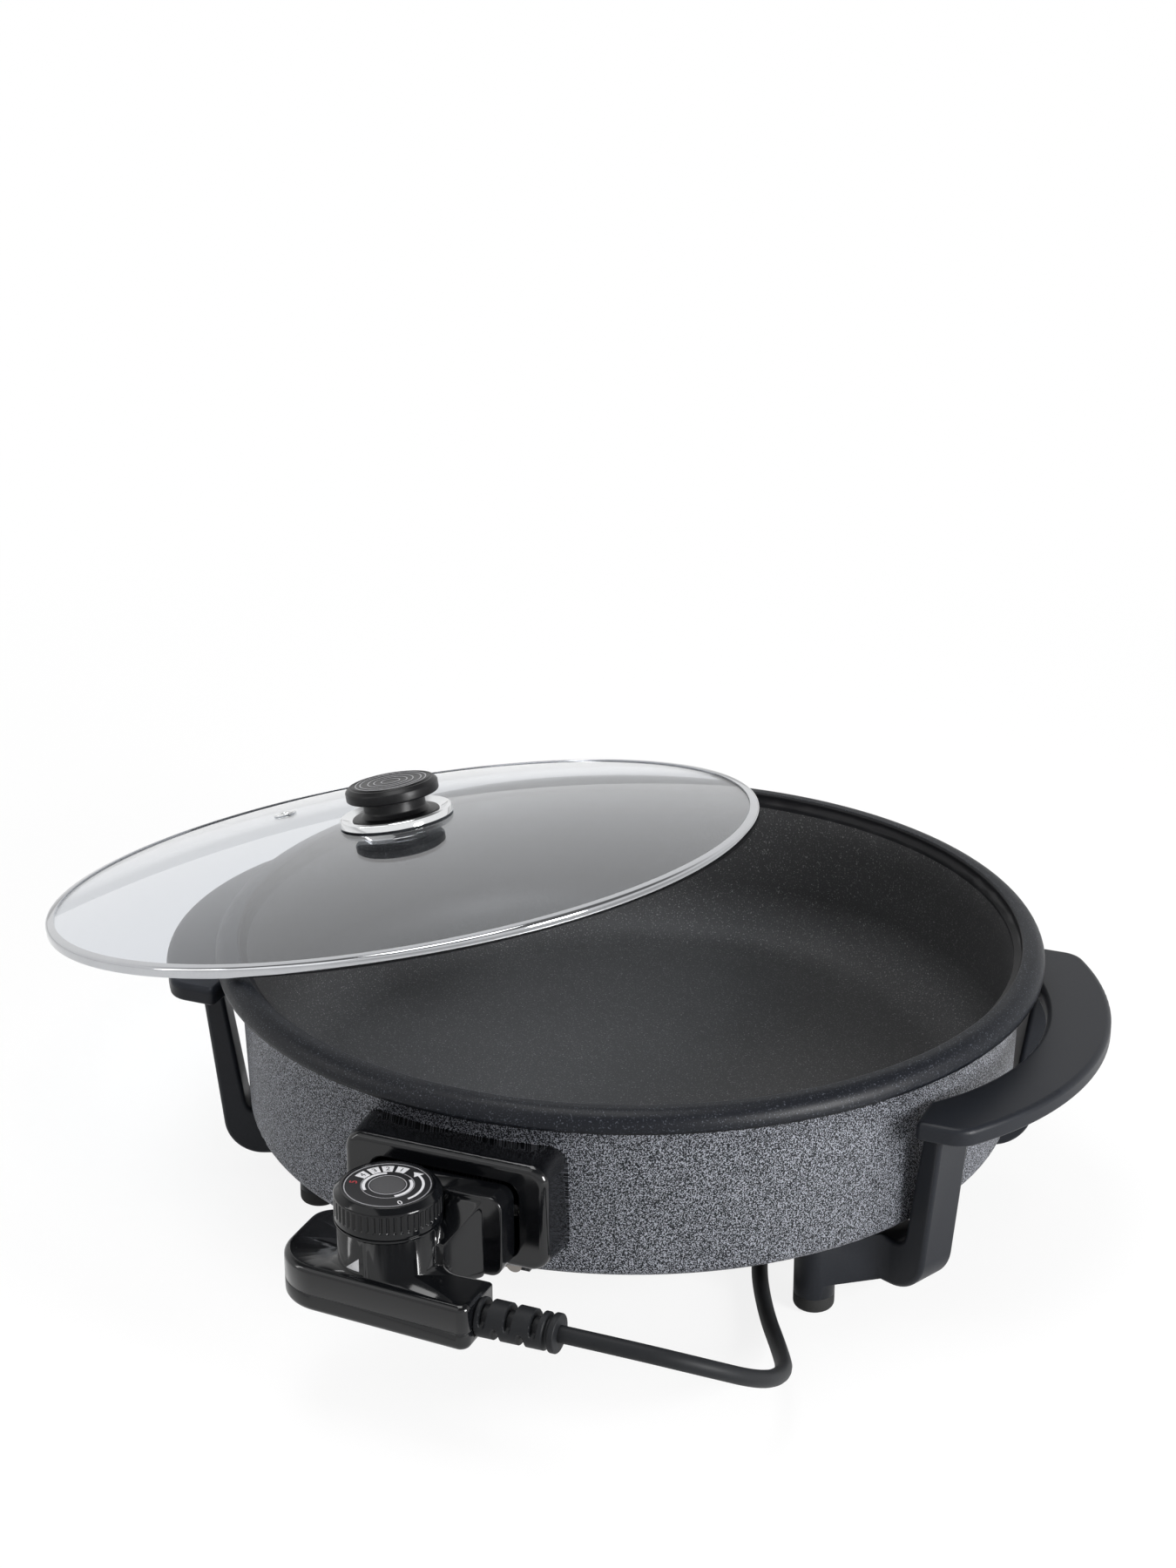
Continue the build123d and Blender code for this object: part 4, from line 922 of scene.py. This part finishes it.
# Dial
def add_dial():
    """Dial: a grooved foot, a fluted skirt, a sloped shoulder and a recess for the plate."""
    low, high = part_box("control_dial")
    flute_low = low.z + 4.6 * MM
    flute_high = high.z - 3.4 * MM
    recess = high.z - DIAL_RECESS
    groove = DIAL_RADIUS - DIAL_GROOVE
    bore_top = low.z + BORE_DEPTH
    foot = rounded(
        [
            (BORE_RADIUS, low.z),
            (DIAL_RADIUS, low.z, 0.4 * MM),
            (DIAL_RADIUS, low.z + 1.2 * MM, 0.2 * MM),
            (groove, low.z + 1.3 * MM),
            (groove, low.z + 1.9 * MM),
            (DIAL_RADIUS, low.z + 2.0 * MM, 0.2 * MM),
            (DIAL_RADIUS, low.z + 3.0 * MM),
        ],
        steps=4,
    )
    skirt_height = np.linspace(low.z + 3.1 * MM, flute_high + 0.3 * MM, DIAL_SKIRT_STEPS)
    skirt = np.stack((np.full_like(skirt_height, DIAL_RADIUS), skirt_height), 1)
    crown = rounded(
        [
            (DIAL_RADIUS, flute_high + 0.4 * MM),
            (DIAL_RADIUS - 0.3 * MM, flute_high + 1.0 * MM, 0.5 * MM),
            (DIAL_TOP_RADIUS + 0.3 * MM, high.z - 0.1 * MM, 0.5 * MM),
            (DIAL_RECESS_RADIUS, high.z, 0.2 * MM),
            (DIAL_RECESS_RADIUS, recess),
            (0, recess),
            (0, bore_top),
            (BORE_RADIUS, bore_top),
        ],
        steps=4,
    )

    def flutes(angle, height, radius):
        """Flutes round the skirt: what a cosine wave cuts between the lands, with run-outs."""
        rise = np.clip((height - flute_low) / FLUTE_RUN_OUT, 0, 1)
        fall = np.clip((flute_high - height) / FLUTE_RUN_OUT, 0, 1)
        wave = np.clip(FLUTE_LAND - np.cos(FLUTE_COUNT * angle), 0, None)
        on_skirt = np.isclose(radius, DIAL_RADIUS, rtol=0, atol=0.05 * MM)
        return FLUTE_DEPTH * wave * rise * fall * on_skirt

    seat = Seat((DIAL_X, DIAL_Y, 0))
    profile = np.concatenate((foot, skirt, crown))
    sides = FLUTE_COUNT * FLUTE_SIDES
    dial = turned(
        "fluted_dial", seat, profile, sides, dial_gloss, "dial",
        flutes, SHARP_CURVED,
    )
    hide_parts("control_dial")


def add_number(text, angle, radius, size, material):
    """A printed number on the plate, its foot towards the middle."""
    letter = bpy.data.curves.new("number", "FONT")
    letter.body = text
    letter.size = size
    letter.align_x = "CENTER"
    letter.align_y = "CENTER"
    letter.extrude = NUMBER_HALF
    holder = bpy.data.objects.new("number", letter)
    bpy.context.scene.collection.objects.link(holder)
    bpy.context.view_layer.update()
    worked_out = holder.evaluated_get(bpy.context.evaluated_depsgraph_get())
    mesh = bpy.data.meshes.new_from_object(worked_out)
    bpy.data.objects.remove(holder)
    flat = np.zeros(len(mesh.vertices) * 3)
    mesh.vertices.foreach_get("co", flat)
    faces = [list(face.vertices) for face in mesh.polygons]
    bpy.data.meshes.remove(mesh)
    turn = angle - pi / 2
    plate_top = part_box("dial_plate")[1].z
    seat = Seat((DIAL_X, DIAL_Y, plate_top), x_axis=(cos(turn), sin(turn), 0))
    local = flat.reshape(-1, 3) + np.array((0, radius, NUMBER_LIFT))
    build(f"dial_number_{text}", seat.place(local), faces, material, "dial")


def add_print():
    """Marks on the plate: windows with numbers, arcs and rings. Angles are in degrees from the
    photograph's right. Radii are shares of the plate's, and a pair of shares is a taper."""
    seat = Seat((DIAL_X, DIAL_Y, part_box("dial_plate")[1].z))

    def mark(name, inner, outer, start, end, material, top=PRINT_TOP):
        """A bar of ink from one angle to another."""
        first, last = radians(start + CAMERA_YAW), radians(end + CAMERA_YAW)
        steps = max(3, int(degrees(last - first) / PRINT_STEP) + 2)
        angle = np.linspace(first, last, steps)
        near = PLATE_RADIUS * np.linspace(*np.broadcast_to(inner, 2), steps)
        far = PLATE_RADIUS * np.linspace(*np.broadcast_to(outer, 2), steps)
        printed_bar(name, seat, angle, near, far, PRINT_LOW, top, material, "dial")

    def number(text, angle, share, size, material):
        """A number at an angle."""
        add_number(text, radians(angle + CAMERA_YAW), share * PLATE_RADIUS, size, material)

    for text, angle in (("1", 68), ("2", 93), ("3", 117), ("4", 142)):
        mark(f"dial_window_{text}", 0.60, 0.86, angle - 9.5, angle + 9.5, white_ink)
        number(text, angle, 0.73, 4.6 * MM, black_ink)
    number("5", 170, 0.77, 5.0 * MM, red_ink)
    number("0", -68, 0.84, 4.6 * MM, white_ink)
    mark("dial_sweep", 0.76, 0.82, -52, 32, white_ink)
    mark("dial_sweep_tip", (0.66, 0.79), (0.92, 0.79), 32, 46, white_ink)
    mark("dial_outer_ring", 0.955, 0.975, 0, 359.9, grey_ink)
    mark("dial_inner_ring", 0.585, 0.60, -179, 55, grey_ink, PRINT_UNDER)
    mark("dial_inner_ring_left", 0.585, 0.60, 152, 181, grey_ink, PRINT_UNDER)
    mark("dial_inner_arc_left", 0.50, 0.57, 95, 205, white_ink)
    mark("dial_inner_arc_right", 0.50, 0.57, -70, 25, white_ink)
    mark("dial_centre_ring", 0.41, 0.43, 0, 359.9, grey_ink)
    mark("dial_centre", 0.001, 0.385, 0, 359.9, plate_grey)


def add_pointer():
    """White pointer on the stage's side, which the dial's numbers are set against. Its foot climbs
    and it grows taller in even steps from its point on."""
    share = np.linspace(0, 1, POINTER_STEPS)
    angle = POINTER_START + POINTER_SWEEP * share
    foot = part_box("control_dial")[0].z - POINTER_DROP + POINTER_CLIMB * share
    top = foot + POINTER_HEIGHT * share
    inner = STAGE_RADIUS - POINTER_HALF
    outer = STAGE_RADIUS + POINTER_HALF
    seat = Seat((DIAL_X, DIAL_Y, 0))
    printed_bar("dial_pointer", seat, angle, inner, outer, foot, top, white_ink, "control")


add_dial()
add_print()
add_pointer()


# Strain relief and plug
def add_relief():
    """Strain relief: a root in the shell, a sleeve with slots on alternate sides and a collar."""
    low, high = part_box("strain_relief")
    start = (high.x - SLEEVE_LENGTH, (low.y + high.y) / 2, (low.z + high.z) / 2)
    seat = Seat(start, (1, 0, 0), (0, 0, 1))
    neck = SLEEVE_RADIUS - SLEEVE_NECK
    root = rounded(
        [
            (0, -4.7 * MM),
            (7.5 * MM, -4.7 * MM, 0.4 * MM),
            (7.5 * MM, -2.7 * MM, 0.4 * MM),
            (5.5 * MM, -2.7 * MM),
            (5.5 * MM, 0.1 * MM),
            (SLEEVE_RADIUS, 0.1 * MM, 0.4 * MM),
        ],
        steps=3,
    )
    along = np.linspace(SLEEVE_RIBS_START, SLEEVE_RIBS_END, SLEEVE_STEPS)
    ribs = np.stack((SLEEVE_RADIUS - SLEEVE_TAPER * along / SLEEVE_LENGTH, along), 1)
    collar = rounded(
        [
            (SLEEVE_RADIUS - SLEEVE_TAPER, SLEEVE_LENGTH - 5.8 * MM),
            (neck, SLEEVE_LENGTH - 4.8 * MM, 0.5 * MM),
            (neck, SLEEVE_LENGTH - 3.6 * MM, 0.5 * MM),
            (SLEEVE_RADIUS, SLEEVE_LENGTH - 2.9 * MM, 0.6 * MM),
            (SLEEVE_RADIUS, SLEEVE_LENGTH, 0.7 * MM),
            (0, SLEEVE_LENGTH),
        ],
        steps=3,
    )

    def slots(angle, height, radius):
        """Oval slots: a steep step where the fourth powers of turn and run add up to under one."""
        depth = np.zeros(np.broadcast_shapes(angle.shape, height.shape))
        for slot in range(SLOT_COUNT):
            middle = SLOT_FIRST + SLOT_PITCH * slot
            facing = pi * (slot % 2)
            swing = (angle - facing + pi) % (2 * pi) - pi
            inside = 1 - (swing / SLOT_SWING) ** 4 - ((height - middle) / SLOT_HALF) ** 4
            depth = np.maximum(depth, np.clip(inside * SLOT_STEEPNESS, 0, 1))
        on_ribs = (height >= SLEEVE_RIBS_START) & (height < SLEEVE_RIBS_END)
        return SLOT_DEPTH * depth * on_ribs

    profile = np.concatenate((root, ribs, collar))
    sleeve = turned(
        "ribbed_sleeve", seat, profile, SLEEVE_SIDES, cord_rubber, "control",
        slots, SHARP_CURVED,
    )
    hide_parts("strain_relief")


def add_plug():
    """Straight plug: a tapered grip with shallow finger grooves, a flange and a flat face."""
    low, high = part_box("plug_body")
    start = (high.x, (low.y + high.y) / 2, (low.z + high.z) / 2)
    seat = Seat(start, (-1, 0, 0), (0, 0, 1))
    length = high.x - low.x
    wide = (high.y - low.y) / 2
    outline = rounded(
        [
            (0, 0),
            (PLUG_NECK, 0, 0.8 * MM),
            (PLUG_GRIP, 18 * MM, 6 * MM),
            (PLUG_GRIP, length - 16 * MM, 2 * MM),
            (wide, length - 11 * MM, 2.4 * MM),
            (wide, length, 1.2 * MM),
            (0, length),
        ],
        steps=8,
    )
    fine = np.linspace(0, len(outline) - 1, PLUG_FINENESS * len(outline))
    step = np.arange(len(outline))
    profile = np.stack([np.interp(fine, step, outline[:, axis]) for axis in range(2)], 1)

    def grooves(angle, height, radius):
        """Three grooves round the tapered grip, as deep as the crests of a cosine wave."""
        along = height - PLUG_GROOVE_MIDDLE
        wave = np.clip(np.cos(2 * pi * along / PLUG_GROOVE_PITCH), 0, 1)
        on_grip = (np.abs(along) < PLUG_GROOVE_REACH) & (radius > PLUG_NECK)
        return PLUG_GROOVE_DEPTH * wave * on_grip

    plug = turned(
        "moulded_plug", seat, profile, PLUG_SIDES, plug_black, "control", grooves
    )
    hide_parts("plug_body")
    return plug


add_relief()
plug = add_plug()

# Pieces that keep their solids
NODE_FINISHES = {
    "heating_element": element_steel,
    "terminal_pins": nickel,
    "contact_sleeves": nickel,
    "plug_pins": nickel,
    "housing_screws": zinc,
    "foot_screws": zinc,
    "shell_screws": zinc,
    "lid_screw": zinc,
    "lid_gasket": gasket,
    "sensor_probe": probe_metal,
    "thermostat_switch": switch_white,
    "dial_plate": plate_black,
    "dial_spindle": brass,
    "cord_tie": cord_rubber,
}
for node, finish in NODE_FINISHES.items():
    frame["nodes"][node].data.materials.clear()
    frame["nodes"][node].data.materials.append(finish)


# Studio: white floor, white surroundings and soft lamps
def add_floor():
    """A wide flat sheet, a grid of two by two points, that stays white and still takes a shadow. It
    glows for rays from the camera and through glass, half as much in gloss, and lights nothing."""
    finish = Finish("floor_white")
    paint = finish.node("ShaderNodeBsdfDiffuse", None, {"Color": colour(0.92, 0.92, 0.92)})
    glow = finish.node("ShaderNodeEmission", None, {"Color": colour(1, 1, 1), "Strength": 1.0})
    clear = finish.ray("Camera").most(finish.ray("Transmission"))
    seen = clear.most(FLOOR_GLOSS_SHARE * finish.ray("Glossy"))
    x, y = finish.axes()[:2]
    far = ((x * x + y * y) ** 0.5).ramp(FLOOR_GLOW_NEAR, FLOOR_GLOW_FAR)
    share = FLOOR_GLOW + (1 - FLOOR_GLOW) * far
    reach = FLOOR_REACH
    corners = np.array([(-reach, -reach), (-reach, reach), (reach, -reach), (reach, reach)])
    points = np.concatenate((corners, np.full((4, 1), -FLOOR_DROP)), 1)
    mesh = bpy.data.meshes.new("floor")
    mesh.from_pydata(points.tolist(), [], [[0, 2, 3, 1]])
    mesh.materials.append(finish.wear(finish.mix(share * seen, paint, glow)))
    floor = bpy.data.objects.new("floor", mesh)
    bpy.context.scene.collection.objects.link(floor)


def add_world():
    """Surroundings that are white where seen, dark overhead in gloss, and an even dim light."""
    finish = Finish("studio", "worlds")
    clear = finish.ray("Camera").most(finish.ray("Transmission"))
    gloss = finish.ray("Glossy")
    way = finish.node("ShaderNodeTexCoord", out="Generated")
    overhead = finish.node("ShaderNodeSeparateXYZ", None, {0: way}, 2).ramp(0.45, 0.75)
    mirrored = gloss * (1 - WORLD_DIMMING * overhead)
    strength = clear.most(mirrored) + WORLD_DIFFUSE * (1 - clear.most(gloss))
    sockets = {"Color": colour(1, 1, 1), "Strength": strength}
    sky = finish.node("ShaderNodeBackground", None, sockets)
    bpy.context.scene.world = finish.wear(sky, "ShaderNodeOutputWorld")


def add_lamp(name, place, size, power, mirrored=True):
    """A soft rectangular lamp that points at the object, seen in gloss and through glass or not."""
    light = bpy.data.lights.new(name, "AREA")
    light.shape = "RECTANGLE"
    light.size, light.size_y = size
    light.energy = power
    lamp = bpy.data.objects.new(name, light)
    lamp.location = place
    lamp.rotation_euler = (Vector(place) - Vector(LAMP_AIM)).to_track_quat("Z", "Y").to_euler()
    lamp.visible_glossy = lamp.visible_transmission = mirrored
    bpy.context.scene.collection.objects.link(lamp)


add_floor()
add_world()
add_lamp("top_softbox", (-0.15, -0.1, 1.6), (1.1, 0.7), 13.0)
add_lamp("front_softbox", (-0.75, -1.15, 1.35), (1.5, 1.0), 5.5)
add_lamp("left_strip", (-1.3, -0.8, 0.7), (0.16, 0.9), 3.0)
add_lamp("right_softbox", (1.35, -0.5, 0.5), (0.5, 0.5), 28.0)
add_lamp("back_softbox", (-0.5, 1.5, 1.0), (1.2, 0.8), 9.0, mirrored=False)
bpy.context.scene.view_settings.view_transform = "Standard"
